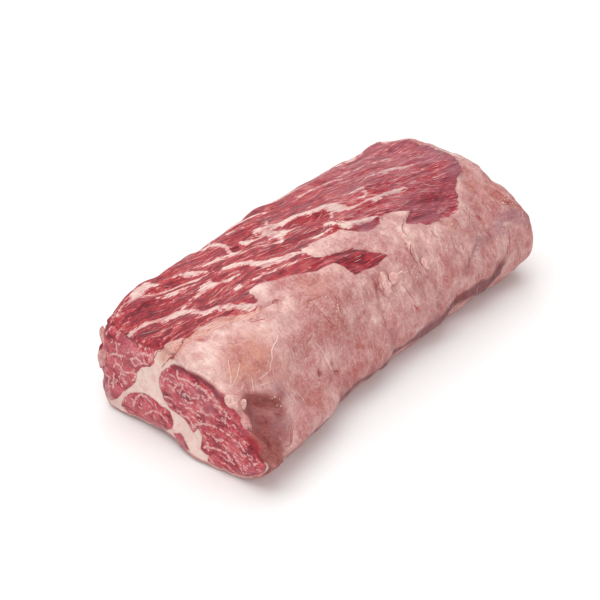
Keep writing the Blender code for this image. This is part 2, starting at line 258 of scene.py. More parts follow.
# Broad swells and hollows of the finished form: place, radius and height.
SWELLS = {
    "near_shoulder": ((-150, 88, 84), 24.0, 5.0),
    "near_corner": ((-192, 88, 80), 14.0, -5.0),
    "next_shoulder": ((-112, 88, 88), 18.0, 3.0),
    "middle_shoulder": ((-66, 88, 92), 14.0, -1.5),
    "second_shoulder": ((-24, 88, 96), 18.0, 3.0),
    "edge_flap": ((-196, 96, 46), 10.0, 5.0),
    "far_hump": ((188, 44, 104), 20.0, 4.0),
    "far_shoulder": ((204, -12, 94), 24.0, 6.0),
    "far_edge": ((206, -60, 80), 18.0, 3.0),
    "waist": ((-84, -86, 22), 26.0, -4.0),
    "far_waist": ((84, -90, 20), 18.0, -3.0),
    "far_heel": ((212, -58, 36), 18.0, 3.0),
    "pocket": ((-180, -72, 54), 9.0, -3.0),
    "bump_in_the_pocket": ((-161, -73, 49), 2.6, 1.6),
    "lobe_by_the_hook": ((-88, -30, 95), 9.0, 2.4),
    "lobe_under_the_hook": ((-112, -28, 93), 9.0, 2.2),
    "cap_edge_lobe": ((-100, -6, 100), 9.0, 1.6),
    "pale_band": ((8, -22, 105), 16.0, 1.6),
    "mid_flank_hollow": ((-112, -60, 66), 16.0, -2.2),
    "mid_flank_swell": ((-60, -62, 72), 20.0, 2.0),
    "far_flank_swell": ((24, -74, 60), 18.0, 2.2),
    "far_flank_hollow": ((62, -72, 66), 16.0, -1.8),
    "far_pad": ((110, -62, 82), 22.0, 2.2),
    "far_groove": ((140, -80, 60), 14.0, -2.0),
}
# Creases that the solid has too: the points that each follows, its half width and its depth.
CREASES = {
    "hook": (((-120, -12, 96), (-104, -17, 97), (-95, -22, 97), (-103, -30, 94)), 4.0, 1.8),
    "flank": (((-2, -62, 78), (-9, -75, 42), (-7, -80, 20)), 6.0, 3.0),
    "far_flank": (((58, -62, 80), (37, -72, 66), (10, -73, 58)), 5.0, 1.6),
    "far_toe": (((120, -72, 80), (93, -82, 62), (55, -86, 42)), 6.0, 1.8),
    "near_toe": (((-139, -80, 45), (-103, -83, 40), (-60, -76, 46)), 6.0, 1.6),
    "side": (((-150, 98, 34), (-60, 103, 30), (60, 100, 34), (160, 90, 30)), 8.0, 3.0),
}
# Fine creases that only the finished skin shows; they stand up where the depth is negative.
FINE_CREASES = {
    "hook_line": (((-118, -17, 95), (-110, -19, 96), (-102, -21, 96), (-96, -24, 96),
                   (-99, -27, 95)), 2.2, 3.4),
    "low_hook_line": (((-131, -21, 92), (-123, -26, 92), (-116, -32, 91)), 2.0, 1.8),
    "eye_lip": (((-199, -44, 68), (-199, -58, 61), (-199, -68, 54), (-199, -78, 45),
                 (-199, -90, 32)), 6.0, -4.0),
    "cap_groove": (((-175, 8, 89), (-182, 8, 88), (-190, 7, 86), (-195, 9, 80)), 2.2, 3.0),
    "upper_fold": (((-176, -62, 60), (-171, -66, 56), (-163, -71, 50)), 2.6, 1.8),
    "fold_ridge": (((-172, -60, 64), (-165, -64, 60), (-158, -69, 54)), 2.6, -2.2),
    "lower_fold": (((-159, -86, 37), (-165, -89, 34), (-170, -93, 30)), 2.2, 2.4),
    "corner_folds": (((-190, -78, 44), (-188, -83, 41), (-190, -89, 37), (-198, -93, 34)), 2.2,
                     2.4),
    "corner_ridge": (((-186, -76, 47), (-183, -83, 41), (-184, -90, 35)), 2.4, -2.0),
    "hook_lip": (((-116, -26, 94), (-106, -25, 95)), 4.0, -1.0),
    "hook_shoulder": (((-93, -22, 97), (-92, -30, 94), (-99, -35, 91), (-108, -34, 91)), 5.0,
                      -1.8),
    "membrane_line": (((-184, 10, 87), (-166, 1, 90), (-145, -5, 93), (-119, -20, 95)), 1.8,
                      1.8),
    "second_membrane_line": (((-180, 5, 88), (-160, -4, 91), (-138, -13, 94)), 1.4, 0.8),
    "pit": (((-103, -70, 53), (-108, -73, 48)), 2.4, 2.4),
    "second_pit": (((-86, -75, 47), (-86, -78, 41)), 2.2, 2.2),
    "nick": (((-31, -64, 67), (-29, -65, 63)), 1.8, 1.2),
    "pocket_fold": (((-178, -62, 60), (-168, -68, 56), (-158, -72, 50)), 3.0, 1.0),
    "second_pocket_fold": (((-184, -72, 52), (-172, -78, 46), (-160, -78, 44)), 2.6, 1.6),
    "third_pocket_fold": (((-190, -84, 40), (-176, -88, 34), (-164, -86, 36)), 2.6, 1.4),
    "fold_by_the_eye": (((-196, -76, 48), (-190, -86, 36), (-186, -92, 24)), 2.0, 2.4),
    "next_fold_by_the_eye": (((-196, -84, 44), (-193, -92, 34), (-192, -97, 24)), 1.6, 1.8),
    "last_fold_by_the_eye": (((-184, -82, 42), (-180, -92, 30), (-180, -96, 20)), 1.8, 1.6),
    "bloom_ridge": (((-151, -63, 61), (-148, -72, 50), (-142, -80, 42), (-148, -88, 33)), 6.0,
                    -1.6),
    "crack": (((45, -55, 90), (47, -59, 86), (48, -65, 77), (50, -71, 65)), 2.6, 1.8),
    "crack_ridge": (((54, -45, 98), (50, -49, 95), (48, -53, 92), (44, -56, 89)), 2.4, -2.6),
    "red_line": (((72, -33, 102), (62, -40, 100), (55, -44, 98), (46, -51, 94)), 1.8, 1.6),
    "curl": (((12, -61, 80), (20, -63, 79), (28, -62, 80)), 2.0, -1.6),
    "nodule_groove": (((-8, -54, 84), (-8, -61, 78), (-6, -66, 72)), 2.4, 3.0),
    "nodule_far_groove": (((8, -58, 82), (9, -63, 76)), 2.0, 1.4),
    "flank_line": (((-9, -66, 66), (-10, -74, 48), (-8, -80, 26)), 2.6, 1.4),
    "far_crack": (((186, -49, 90), (189, -60, 84), (194, -69, 77), (200, -76, 70)), 2.2, 2.4),
    "far_lip": (((180, -52, 90), (183, -62, 83), (188, -72, 75)), 3.5, -1.4),
    "far_line": (((130, -74, 68), (112, -79, 58), (98, -82, 50), (84, -86, 34)), 2.4, 1.4),
    "far_second_line": (((66, -80, 46), (58, -83, 37), (48, -85, 28)), 2.2, 1.2),
    "far_foot": (((162, -87, 46), (156, -89, 40), (148, -90, 35), (136, -89, 28)), 3.6, 1.3),
    "far_mark": (((150, -65, 82), (152, -67, 79)), 1.6, 1.4),
}
# The relief fades in between these heights, so the roast lies flat.
RELIEF_FROM, RELIEF_TO = 2.0, 12.0

# Soft spots of colour: place (x, y, z), radius and strength. Most are stains; the brown spots are
# partly painted shade, in the pocket by the eye and along the bottom.
STAINS = {
    "mauve": (
        ((185, -76, 69), 9, 0.9), ((174, -75, 70), 9, 0.8), ((192, -80, 65), 8, 0.9),
        ((158, -77, 66), 7, 0.8), ((148, -77, 66), 6, 0.7), ((130, -75, 67), 6, 0.5),
        ((113, -79, 58), 6, 0.6), ((100, -80, 52), 6, 0.6), ((63, -81, 43), 5, 0.8),
        ((55, -83, 37), 5, 0.7), ((48, -84, 30), 6, 0.7), ((40, -83, 24), 7, 0.6),
        ((-176, -87, 38), 7, 0.9), ((-187, -74, 48), 4, 0.9), ((-12, -80, 30), 7, 0.5),
        ((-5, -77, 40), 5, 0.4), ((196, 20, 104), 12, 0.5), ((30, -20, 106), 8, 0.8),
        ((40, -23, 106), 6, 0.6), ((98, -47, 96), 9, 0.5), ((75, -38, 101), 6, 0.5),
        ((-119, 5, 97), 6, 0.35), ((-110, -4, 98), 6, 0.35),
        ((-196, 58, 70), 11, 0.5), ((-199, 88, 34), 9, 0.5), ((-199, 86, 22), 11, 0.7),
        ((-199, 74, 14), 9, 0.6), ((-199, -22, 60), 9, 0.4), ((-199, -36, 57), 8, 0.4),
        ((-199, -4, 50), 7, 0.3), ((-199, 22, 10), 9, 0.5), ((-199, -10, 10), 7, 0.7),
        ((-168, -82, 42), 8, 0.8), ((-186, -68, 54), 6, 0.8), ((-152, -64, 60), 5, 0.5),
        ((180, -14, 101), 9, 0.5), ((186, 8, 104), 9, 0.6), ((168, -23, 100), 8, 0.5),
        ((-154, -66, 58), 6, 0.5), ((-150, -74, 50), 7, 0.5), ((-154, -84, 40), 7, 0.5),
        ((-190, -70, 51), 5, 0.9), ((-186, -63, 58), 4, 0.8),
    ),
    "deep": (
        ((-20, -34, 101), 11, 1.0), ((-7, -35, 101), 10, 1.0), ((-4, -45, 97), 9, 1.0),
        ((-24, -42, 97), 7, 0.9), ((10, -47, 96), 8, 0.8), ((-34, -20, 103), 8, 0.5),
        ((117, -28, 102), 14, 0.9), ((97, -31, 102), 12, 0.9), ((144, -27, 101), 13, 0.8),
        ((93, -16, 106), 10, 0.6), ((180, -14, 101), 10, 1.0), ((188, 8, 104), 9, 1.0),
        ((184, 26, 106), 9, 0.9), ((166, -24, 100), 10, 0.8), ((2, 4, 108), 10, 0.8),
        ((-30, 14, 106), 12, 0.7), ((-48, 22, 104), 11, 0.6), ((-129, 26, 95), 12, 0.7),
        ((-161, 66, 84), 12, 0.8), ((-176, 36, 85), 12, 0.9), ((-160, 22, 89), 12, 0.7),
        ((-100, 48, 97), 12, 0.5), ((20, 47, 107), 12, 0.5), ((-80, 58, 99), 10, 0.4),
    ),
    "blood": (
        ((-172, -2, 89), 2.6, 1.0), ((-170, -4, 89), 2.2, 1.0), ((-186, -14, 85), 4.0, 0.4),
        ((-9, -60, 80), 3.4, 0.7), ((-8, -66, 72), 2.6, 0.5), ((9, -62, 77), 2.6, 0.5),
        ((26, -77, 46), 2.0, 1.0), ((28, -78, 43), 1.8, 0.8), ((84, -86, 28), 4.0, 1.0),
        ((92, -86, 31), 5.0, 0.6), ((150, -66, 81), 2.2, 0.9), ((188, -56, 87), 3.2, 0.7),
        ((194, -69, 77), 3.0, 0.7), ((-31, -64, 67), 2.0, 0.8), ((-88, -76, 52), 2.0, 0.7),
        ((56, -43, 98), 2.0, 0.7), ((50, -48, 95), 2.0, 0.7), ((43, -54, 91), 2.0, 0.7),
        ((50, -64, 78), 1.8, 0.7), ((128, -81, 55), 4.0, 0.5), ((165, -87, 47), 3.0, 0.5),
        ((-99, -22, 96), 2.4, 0.5), ((-16, 51, 104), 5, 0.5), ((49, 17, 108), 6, 0.5),
    ),
    "flush": (
        ((-81, -42, 91), 12, 0.8), ((-69, -42, 92), 9, 0.9), ((-60, -50, 87), 11, 0.9),
        ((-53, -50, 88), 8, 0.9), ((-72, -57, 76), 12, 0.9), ((-66, -62, 70), 9, 0.9),
        ((-79, -12, 101), 9, 0.7), ((-64, -22, 100), 8, 0.7), ((-57, -31, 99), 9, 0.7),
        ((-98, -58, 73), 12, 0.5), ((-116, -54, 77), 10, 0.4), ((-156, -44, 80), 17, 0.85),
        ((-162, -33, 85), 16, 0.7), ((4, -22, 104), 14, 0.6), ((30, -27, 102), 12, 0.6),
        ((-40, -57, 80), 6, 0.9), ((-46, -52, 86), 6, 0.8),
        ((-38, -80, 31), 10, 0.8), ((-65, -81, 33), 9, 0.6), ((-7, -58, 80), 7, 0.8),
        ((8, -64, 73), 6, 0.5), ((165, -58, 87), 20, 0.6), ((165, -46, 93), 14, 0.6),
        ((150, -60, 86), 14, 0.4), ((-168, -14, 89), 14, 0.25), ((-113, -32, 92), 7, 0.3),
        ((-184, 8, 87), 6, 0.8), ((-174, 4, 89), 6, 0.8), ((-163, 0, 91), 6, 0.8),
        ((-152, -6, 93), 6, 0.8), ((-140, -10, 94), 6, 0.8), ((-126, -17, 94), 6, 0.7),
        ((-115, -18, 95), 6, 0.7), ((206, -20, 92), 18, 0.5),
    ),
    "peach": (
        ((-165, -38, 82), 15, 0.9), ((-155, -48, 78), 15, 0.9), ((-145, -34, 87), 13, 0.8),
        ((-178, -44, 76), 9, 0.7), ((-186, 8, 87), 7, 0.9), ((-178, 6, 88), 6, 0.8),
        ((-194, 14, 84), 6, 0.9), ((-194, 17, 76), 6, 0.9), ((-62, -34, 97), 14, 0.5),
        ((-40, -30, 100), 12, 0.4), ((197, -70, 75), 8, 0.6), ((190, -56, 86), 9, 0.5),
        ((184, -48, 91), 9, 0.5), ((66, -50, 92), 8, 0.3), ((108, -58, 88), 8, 0.5),
        ((-140, -62, 66), 12, 0.3), ((170, -40, 96), 10, 0.4),
    ),
    # Brownish red of the pocket's folds, partly painted shade in the pocket and where the skin
    # turns under at the bottom.
    "brown": (
        ((-176, -63, 59), 7, 0.8), ((-168, -67, 56), 7, 0.9), ((-160, -71, 51), 6, 0.8),
        ((-162, -78, 45), 7, 0.6), ((-178, -76, 46), 10, 0.8), ((-190, -78, 44), 8, 0.95),
        ((-195, -84, 38), 8, 0.95), ((-196, -91, 30), 8, 0.9),
        ((-187, -66, 57), 5, 0.9), ((-172, -86, 36), 9, 0.6), ((-106, -72, 50), 3, 0.8),
        ((-184, -60, 62), 7, 0.9), ((-152, -70, 55), 6, 0.5), ((-188, -88, 34), 10, 0.9),
        ((-82, -83, 32), 7, 0.5), ((-94, -86, 24), 7, 0.6), ((-26, -80, 20), 8, 0.6),
        ((-47, -82, 24), 8, 0.6), ((-197, -72, 50), 5, 0.7), ((150, -89, 36), 6, 0.6),
        ((143, -89, 34), 6, 0.6), ((137, -88, 27), 7, 0.9), ((129, -87, 22), 7, 0.9),
        ((84, -86, 26), 6, 0.8), ((74, -85, 24), 7, 0.9), ((95, -86, 26), 6, 0.6),
    ),
    "pale": (
        ((-178, -12, 88), 18, 0.8), ((-160, -16, 91), 14, 0.6), ((-135, -22, 94), 14, 0.6),
        ((-99, -5, 99), 9, 1.0), ((-103, 2, 99), 6, 1.0), ((-107, -24, 95), 7, 0.7),
        ((-88, -20, 98), 6, 0.4), ((-95, -32, 93), 6, 0.5), ((-200, -30, 77), 13, 0.8),
        ((-199, -50, 66), 8, 0.6), ((-22, -68, 58), 9, 0.8), ((-22, -66, 66), 5, 0.7),
        ((-83, -49, 86), 7, 0.4), ((-76, -62, 69), 5, 0.4), ((-67, -64, 65), 6, 0.4),
        ((5, -20, 105), 12, 0.3), ((22, -32, 102), 10, 0.3), ((-16, -12, 106), 12, 0.6),
        ((91, -54, 91), 6, 0.7), ((51, -52, 93), 5, 1.0), ((60, -36, 101), 10, 0.7),
        ((-147, -72, 50), 6, 0.3), ((-142, -80, 42), 7, 0.3),
        ((-148, -88, 34), 7, 0.2), ((30, -84, 30), 9, 0.5), ((70, -78, 54), 9, 0.4),
        ((-20, -80, 36), 9, 0.4), ((112, -84, 42), 9, 0.5), ((12, -60, 82), 8, 0.4),
    ),
}
# Bands of colour: the points that each follows, its half width and its strength. The mauve bands
# are stains; the edge bands are partly a purplish brown of the edge and partly painted shade where
# the skin turns under.
BANDS = {
    "mauve": (
        (((199, -81, 64), (190, -77, 68), (176, -78, 66), (168, -79, 64)), 7.0, 0.75),
        (((168, -79, 64), (155, -78, 64), (134, -77, 65), (120, -77, 61), (106, -79, 56)), 3.6,
         0.6),
        (((140, -73, 72), (131, -76, 66), (105, -79, 56), (84, -82, 44), (66, -83, 34)), 2.4,
         0.45),
        (((158, -86, 48), (153, -89, 39), (142, -88, 38)), 3.0, 0.4),
    ),
    # Painted shade along the bottom of the fat side, where it turns under, over the edge's purplish
    # brown.
    "edge": (
        (((-102, -86, 16), (-64, -83, 18), (-30, -78, 15), (-2, -80, 18), (41, -83, 19)), 7.0,
         0.85),
        (((41, -83, 19), (70, -85, 24), (93, -86, 26), (116, -87, 27)), 8.0, 0.9),
        (((116, -87, 27), (134, -89, 27), (146, -90, 30)), 6.5, 0.85),
        (((146, -90, 30), (156, -90, 35), (165, -88, 42)), 4.0, 0.45),
        (((-196, -96, 20), (-170, -96, 20), (-140, -92, 18), (-102, -86, 16)), 6.0, 0.7),
    ),
}
# The smooth red rim along the top of the eye, and where it turns from wine to bright red.
EYE_RIM = ((4, 73), (-10, 75), (-24, 74), (-41, 70.5), (-49, 68), (-53, 65.5), (-59.5, 61),
           (-65, 57), (-71.5, 51), (-78, 45), (-84.5, 39), (-92, 31.5))
EYE_RIM_HALF, EYE_INSET, EYE_INSET_HALF = 2.2, (1.9, -2.4), 3.2
RED_FROM_Y, RED_TO_Y = -44.0, -58.0
# The orange membrane along the edge of the fat cap, and its half width.
MEMBRANE = ((-194, 15, 85), (-182, 9, 88), (-174, 6, 89), (-166, 2, 90), (-157, -1, 92),
            (-145, -4, 93), (-137, -9, 94), (-128, -16, 94), (-117, -18, 95))
MEMBRANE_HALF = 4.0
# The fields that the material reads: how far from an edge they still count, how blurred the
# rim, its inset and the membrane are, how far in from the cut the inset reaches, and between
# which heights and lengths the low and the far shares run. The low share darkens the fat
# towards the bottom: partly its pinker colour there, partly painted shade.
DEPTH_LIMIT, STREAK_LIMITS = 20.0, (-12.0, 6.0)
RIM_BLUR, INSET_BLUR, MEMBRANE_BLUR = 0.9, 0.6, 1.5
INSET_REACH = 4.0
LOW_TINT_AND_SHADE, FAR_SHARE = (20.0, 88.0), (-60.0, 120.0)

# Threads of sinew on the fat: radius, then the points that each runs through.
SINEW = (
    (0.55, ((-123, -42, 86), (-128, -46, 83), (-136, -47, 81), (-143, -51, 77), (-152, -57, 69))),
    (0.40, ((-173, -32, 83), (-179, -39, 79), (-184, -46, 75), (-191, -48, 72))),
    (0.40, ((-168, -40, 81), (-179, -47, 75), (-189, -48, 72))),
    (0.35, ((-176, -52, 71), (-183, -54, 68))),
    (0.35, ((-168, -52, 73), (-171, -57, 67), (-174, -59, 64))),
    (0.35, ((-152, -56, 70), (-157, -56, 69), (-162, -55, 69))),
    (0.35, ((-166, -59, 66), (-160, -60, 65), (-157, -60, 65))),
    (0.90, ((53, -45, 98), (50, -49, 95), (49, -52, 93), (44, -56, 89))),
    (0.50, ((49, -59, 86), (51, -65, 77), (53, -71, 65))),
    (0.70, ((11, -60, 81), (17, -62, 79), (26, -62, 79), (29, -63, 79))),
    (0.50, ((35, -66, 74), (38, -67, 72), (42, -68, 70))),
    (0.35, ((-123, -54, 76), (-122, -57, 72), (-122, -61, 67))),
    (0.40, ((-96, -60, 70), (-92, -66, 62), (-93, -72, 54), (-90, -76, 46))),
    (0.35, ((92, -52, 92), (84, -58, 88), (83, -64, 82), (78, -70, 74))),
)
# Red lines where the fat is nicked, folded or cracked.
RED_LINES = (
    (0.60, ((-118, -17, 95), (-110, -19, 96), (-102, -21, 96), (-98, -21, 97), (-96, -24, 96))),
    (0.45, ((-131, -21, 92), (-128, -24, 92), (-123, -26, 92), (-120, -29, 92))),
    (0.55, ((-103, -70, 53), (-106, -72, 51), (-108, -73, 49))),
    (0.55, ((-86, -76, 45), (-86, -77, 43), (-86, -78, 41))),
    (0.35, ((-96, -69, 54), (-95, -73, 49), (-94, -76, 44))),
    (0.40, ((-78, -48, 87), (-76, -55, 80), (-74, -58, 75), (-69, -61, 70))),
    (0.45, ((-82, -39, 92), (-76, -41, 92), (-66, -43, 92))),
    (0.40, ((-55, -48, 90), (-55, -52, 86))),
    (0.35, ((-95, -56, 76), (-99, -57, 75), (-103, -58, 73))),
    (0.45, ((72, -33, 102), (62, -40, 100), (55, -44, 98), (46, -51, 94), (42, -52, 93))),
    (0.80, ((51, -52, 93), (46, -56, 90), (47, -59, 86), (48, -65, 77), (50, -71, 65))),
    (0.35, ((33, -52, 92), (31, -55, 90))),
    (0.35, ((22, -56, 88), (26, -54, 90))),
    (0.80, ((23, -74, 52), (25, -76, 48), (26, -77, 46))),
    (0.40, ((84, -53, 92), (81, -57, 90), (83, -60, 87), (84, -62, 84))),
    (0.35, ((99, -64, 82), (97, -67, 78), (96, -70, 74))),
    (0.45, ((190, -51, 89), (193, -59, 84), (194, -66, 79), (200, -71, 74))),
    (0.45, ((146, -66, 81), (153, -64, 83), (153, -67, 79), (147, -67, 79))),
    (0.45, ((174, -81, 62), (171, -84, 56), (167, -86, 50), (160, -88, 43))),
    (0.35, ((146, -58, 88), (140, -61, 86), (134, -64, 83))),
    (0.35, ((107, -71, 73), (106, -72, 70), (105, -74, 67))),
    (0.50, ((-159, -86, 37), (-165, -89, 34), (-168, -92, 31), (-175, -94, 29))),
    (0.45, ((-190, -78, 44), (-188, -83, 41), (-190, -89, 37), (-196, -93, 34))),
    (0.45, ((-196, -86, 40), (-194, -91, 34), (-192, -95, 28))),
    (0.80, ((-175, 8, 89), (-180, 8, 88), (-190, 7, 86), (-194, 9, 80), (-194, 14, 72))),
    (0.50, ((-194, 14, 72), (-195, 19, 65))),
    (0.35, ((-192, 22, 85), (-193, 25, 76), (-194, 28, 67))),
    (0.45, ((-184, -58, 62), (-187, -63, 58), (-190, -68, 52), (-193, -74, 46))),
    (0.35, ((18, -66, 72), (22, -70, 62), (25, -74, 54))),
    (0.50, ((164, -87, 47), (156, -90, 40), (146, -90, 34), (136, -89, 28))),
)
# Dark lines in the folds of the pocket and round the far toe: partly the folds' reddish colour,
# partly painted shade in the creases.
FOLD_LINES = (
    (0.40, ((-181, -57, 65), (-179, -58, 65), (-169, -65, 58), (-162, -70, 52), (-159, -74, 48))),
    (0.35, ((-175, -63, 59), (-167, -71, 51), (-164, -75, 47))),
    (0.40, ((-158, -87, 36), (-164, -90, 34), (-168, -93, 29), (-174, -94, 29), (-180, -94, 30))),
    (0.60, ((-184, -66, 56), (-187, -69, 52), (-190, -73, 49), (-194, -76, 46))),
    (0.60, ((-190, -78, 45), (-189, -83, 41), (-189, -88, 37), (-191, -91, 35), (-196, -96, 30))),
    (0.50, ((-197, -78, 45), (-197, -82, 42), (-197, -86, 39), (-198, -91, 35))),
    (0.70, ((-184, -57, 65), (-188, -61, 60), (-192, -64, 57))),
    (0.40, ((-167, -73, 49), (-167, -76, 46), (-162, -78, 44))),
    (0.40, ((-178, -71, 50), (-176, -75, 47), (-170, -79, 44))),
    (0.35, ((-185, -75, 47), (-181, -79, 44), (-177, -84, 40), (-174, -89, 35))),
    (0.30, ((97, -79, 53), (104, -79, 56), (111, -78, 59))),
    (0.32, ((111, -78, 59), (119, -77, 62), (126, -76, 65))),
    (0.45, ((139, -88, 36), (147, -89, 37), (157, -89, 37), (164, -87, 46))),
    (0.40, ((189, -63, 82), (192, -68, 77), (199, -73, 73), (203, -77, 69))),
)
# Veins of fat that show on the near face, as (y, z).
VEINS = (
    ((-0.5, 72.5), (-2.5, 67.5), (-12, 68.5), (-18, 67.5), (-25, 67.5), (-30.5, 67), (-36, 64.5),
     (-35, 61.5), (-31.5, 59)),
    ((1.5, 55), (-1, 59.5), (-5.5, 63.5), (-8, 61), (-5.5, 56), (-5, 53.5)),
    ((14.5, 56), (12.5, 59.5), (8, 62)),
    ((-10.5, 56), (-16.5, 55), (-24.5, 57.5)),
    ((-11, 50.5), (-14, 49.5), (-19.5, 51.5)),
    ((12, 42.5), (7, 44), (3.5, 44.5)),
    ((-12, 43.5), (-17, 45.5), (-21.5, 42.5), (-25.5, 42)),
    ((-23.5, 45), (-28.5, 47), (-33.5, 46), (-36.5, 48)),
    ((-40, 63), (-43, 63), (-46.5, 63.5)),
    ((-41.5, 60), (-46.5, 60.5), (-49, 59)),
    ((-51, 58.5), (-54, 55.5), (-53.5, 52)),
    ((-4, 32), (-10, 34), (-15.5, 35.5)),
    ((-17.5, 32), (-20.5, 29.5), (-24.5, 34.5), (-29, 36), (-37, 39), (-43.5, 40.5)),
    ((-41.5, 30.5), (-45.5, 29), (-52.5, 31.5)),
    ((-49, 40.5), (-50.5, 40), (-52, 39.5)),
    ((-58.5, 39.5), (-62, 37), (-70.5, 36), (-76, 32.5)),
    ((-69, 38), (-71, 36), (-73.5, 33.5)),
    ((-56.5, 23), (-61.5, 16.5), (-66, 16.5)),
    ((-34, 18), (-41.5, 20), (-50, 22), (-57, 22), (-63, 18.5)),
    ((11, 38.5), (7, 38.5), (3.5, 39)),
    ((69, 68), (68, 64), (67.5, 59.5)),
    ((76, 53.5), (72, 56.5), (68, 57.5), (64, 58.5), (59.5, 59)),
    ((43.5, 68), (40.5, 70.5), (35, 72.5), (28, 71.5)),
    ((50, 61.5), (48.5, 58.5), (45.5, 57.5), (36.5, 63.5), (31.5, 64.5)),
    ((51, 61), (44.5, 65), (41.5, 64.5)),
    ((69.5, 52.5), (69, 48.5), (63.5, 47.5), (63.5, 41), (57.5, 42.5)),
    ((71.5, 37.5), (72, 33), (71.5, 28), (72.5, 23.5)),
    ((81.5, 33), (77, 31), (78, 22), (75.5, 18.5), (77.5, 13.5), (73, 12)),
    ((62, 36.5), (59, 35.5), (57, 34.5)),
    ((61, 44.5), (54, 47), (48, 49.5), (45.5, 47.5), (48.5, 41.5)),
    ((48, 17), (45.5, 25), (41, 31), (33, 32), (25, 29)),
    ((34, 16), (24.5, 23.5), (16.5, 25), (11, 23)),
)
VEIN_HALF = 1.5
# Small flecks of fat in each muscle of a cut face: how many, their usual angle up from the
# Y axis and how far it varies, in degrees.
FLECKS = {"eye": (130, 14.0, 20.0), "cap": (70, 95.0, 45.0), "lower": (16, 30.0, 35.0)}
FLECK_LENGTHS, FLECK_HALVES, FLECK_INSET = (1.2, 5.0), (0.8, 1.3), 1.5
# Fine fibres over the skin: how many, their lengths, their radii, which way they head at
# first and how much they sway.
FINE_FIBRES = {
    "meat_fibres": (260, (6.0, 20.0), (0.10, 0.24),
                    (math.cos(FIBRE_TURN), math.sin(FIBRE_TURN), 0.0), 0.10),
    "fat_fibres": (130, (4.0, 18.0), (0.10, 0.20), (0.2, 0.5, 0.8), 0.16),
}
# They start this deep in the meat, this far out on the fat, and above this height.
ON_MEAT, ON_FAT, FIBRES_ABOVE = 1.0, -2.0, 12.0
# A thread's step over the skin, the share of its radius that is sunk, how thin its tips are
# and how many sides it has.
STEP, SUNK, THREAD_TIP, THREAD_SIDES = 1.4, 0.25, 0.15, 5

# Crumbly places: the middle of each, how far it spreads and its share of the crumbs.
CRUMBLY = (
    ((20, -1, 108), 8.0, 4), ((38, -67, 72), 5.0, 2), ((50, -48, 96), 5.0, 2),
    ((4, -60, 80), 6.0, 3), ((12, -62, 78), 5.0, 2), ((-35, -60, 75), 6.0, 2),
    ((107, -59, 87), 5.0, 1), ((-160, -70, 53), 6.0, 1), ((192, -66, 79), 7.0, 2),
    ((-66, -52, 84), 12.0, 2), ((-88, -30, 95), 6.0, 1),
)
# How far the crumbs scatter, their widths and how far they stand up, as shares.
CRUMB_SCATTER, CRUMB_WIDTHS, CRUMB_LIFT = 0.5, (0.25, 0.6), 0.1
# The least and the most that each is turned, in radians, and its size along each axis as a
# share of its width.
CRUMB_TURNS = ((0.0, 0.0, 0.0), (6.3, 6.3, 6.3))
CRUMB_SHAPES = ((0.5, 0.4, 0.4), (1.3, 1.0, 0.8))
# Knobs of loose fat: place, size along, across and up, turn about X in degrees, how much
# wider the top is than the foot, and whether meat juice has stained it.
KNOBS = {
    "knob": ((-196.0, -56.5, 62.5), (3.6, 4.8, 11.0), -18.0, 0.60, False),
    "flap_by_the_knob": ((-190.0, -61.5, 60.5), (2.0, 2.6, 8.0), 12.0, 0.2, False),
    "small_knob": ((-196.0, -68.0, 53.0), (3.8, 4.0, 8.6), -42.0, -0.2, True),
    "nodule": ((1.0, -61.0, 77.0), (5.6, 4.6, 9.0), -26.0, 0.0, False),
    "second_nodule": ((11.5, -62.0, 79.2), (4.0, 3.4, 5.0), -28.0, 0.0, False),
    "ridge_lump": ((49.5, -50.2, 93.2), (2.4, 2.0, 6.6), -60.0, 0.1, False),
    "crack_lump": ((56.0, -65.4, 72.9), (4.0, 3.0, 6.0), -30.0, 0.0, False),
    "edge_tag": ((-195.0, 86.5, 44.5), (2.8, 4.2, 9.5), 16.0, 0.3, True),
    "upper_edge_tag": ((-192.0, 85.8, 67.0), (2.8, 3.2, 8.0), -6.0, -0.2, True),
}
# Their uneven skin: the height, size and shift of each set of bumps, for a knob of radius 1.
KNOB_BUMPS = ((0.26, 1.1, 4.0), (0.20, 0.5, 9.0), (0.10, 0.22, 5.0))

# One seed for each set of random draws.
LATTICE_SEED, MARBLING_SEED, FIBRE_SEED, CRUMB_SEED, CRUMB_TURN_SEED = 11, 5, 8, 3, 5

# The floor's size and how far it lies below the roast, in metres; the light that comes from
# all round; and the soft lights, each with its place and width in metres and its power.
FLOOR_SIZE, FLOOR_DROP, PAPER, ROOM_LIGHT = 12.0, 0.0005, "#F7F6F5", 0.46
LIGHTS = {
    "top_softbox": ((-0.15, 0.35, 1.6), 2.2, 25.0),
    "front_fill": ((-1.2, -1.3, 0.9), 1.4, 11.0),
    "back_strip": ((1.1, 0.9, 1.0), 0.9, 6.0),
}
# The camera that matches the photograph: it looks at its aim from a distance, and its angles
# are measured as the views are, from -Y towards +X.
CAMERA_TURN, CAMERA_RISE = math.radians(-52.0), math.radians(33.0)
CAMERA_DISTANCE, CAMERA_LENS, CAMERA_FILM = 1334.0, 90.0, 36.0
CAMERA_AIM = (-14.7, 18.9, 37.7)


def linear(hexcode):
    """The linear colour of an sRGB hex value."""
    parts = [int(hexcode[i:i + 2], 16) / 255 for i in (1, 3, 5)]
    return tuple(c / 12.92 if c <= 0.04045 else ((c + 0.055) / 1.055) ** 2.4 for c in parts)


def colour(hexcode, name, description):
    """A colour property that starts at an sRGB hex value."""
    return FloatVectorProperty(
        name=name, description=description, subtype="COLOR", min=0.0, max=1.0,
        default=linear(hexcode),
    )


def length(default, name, description):
    """A length property, given in millimetres and kept in metres."""
    return FloatProperty(
        name=name, description=description, unit="LENGTH", subtype="DISTANCE",
        default=default * METRES, min=0.0, precision=4,
    )


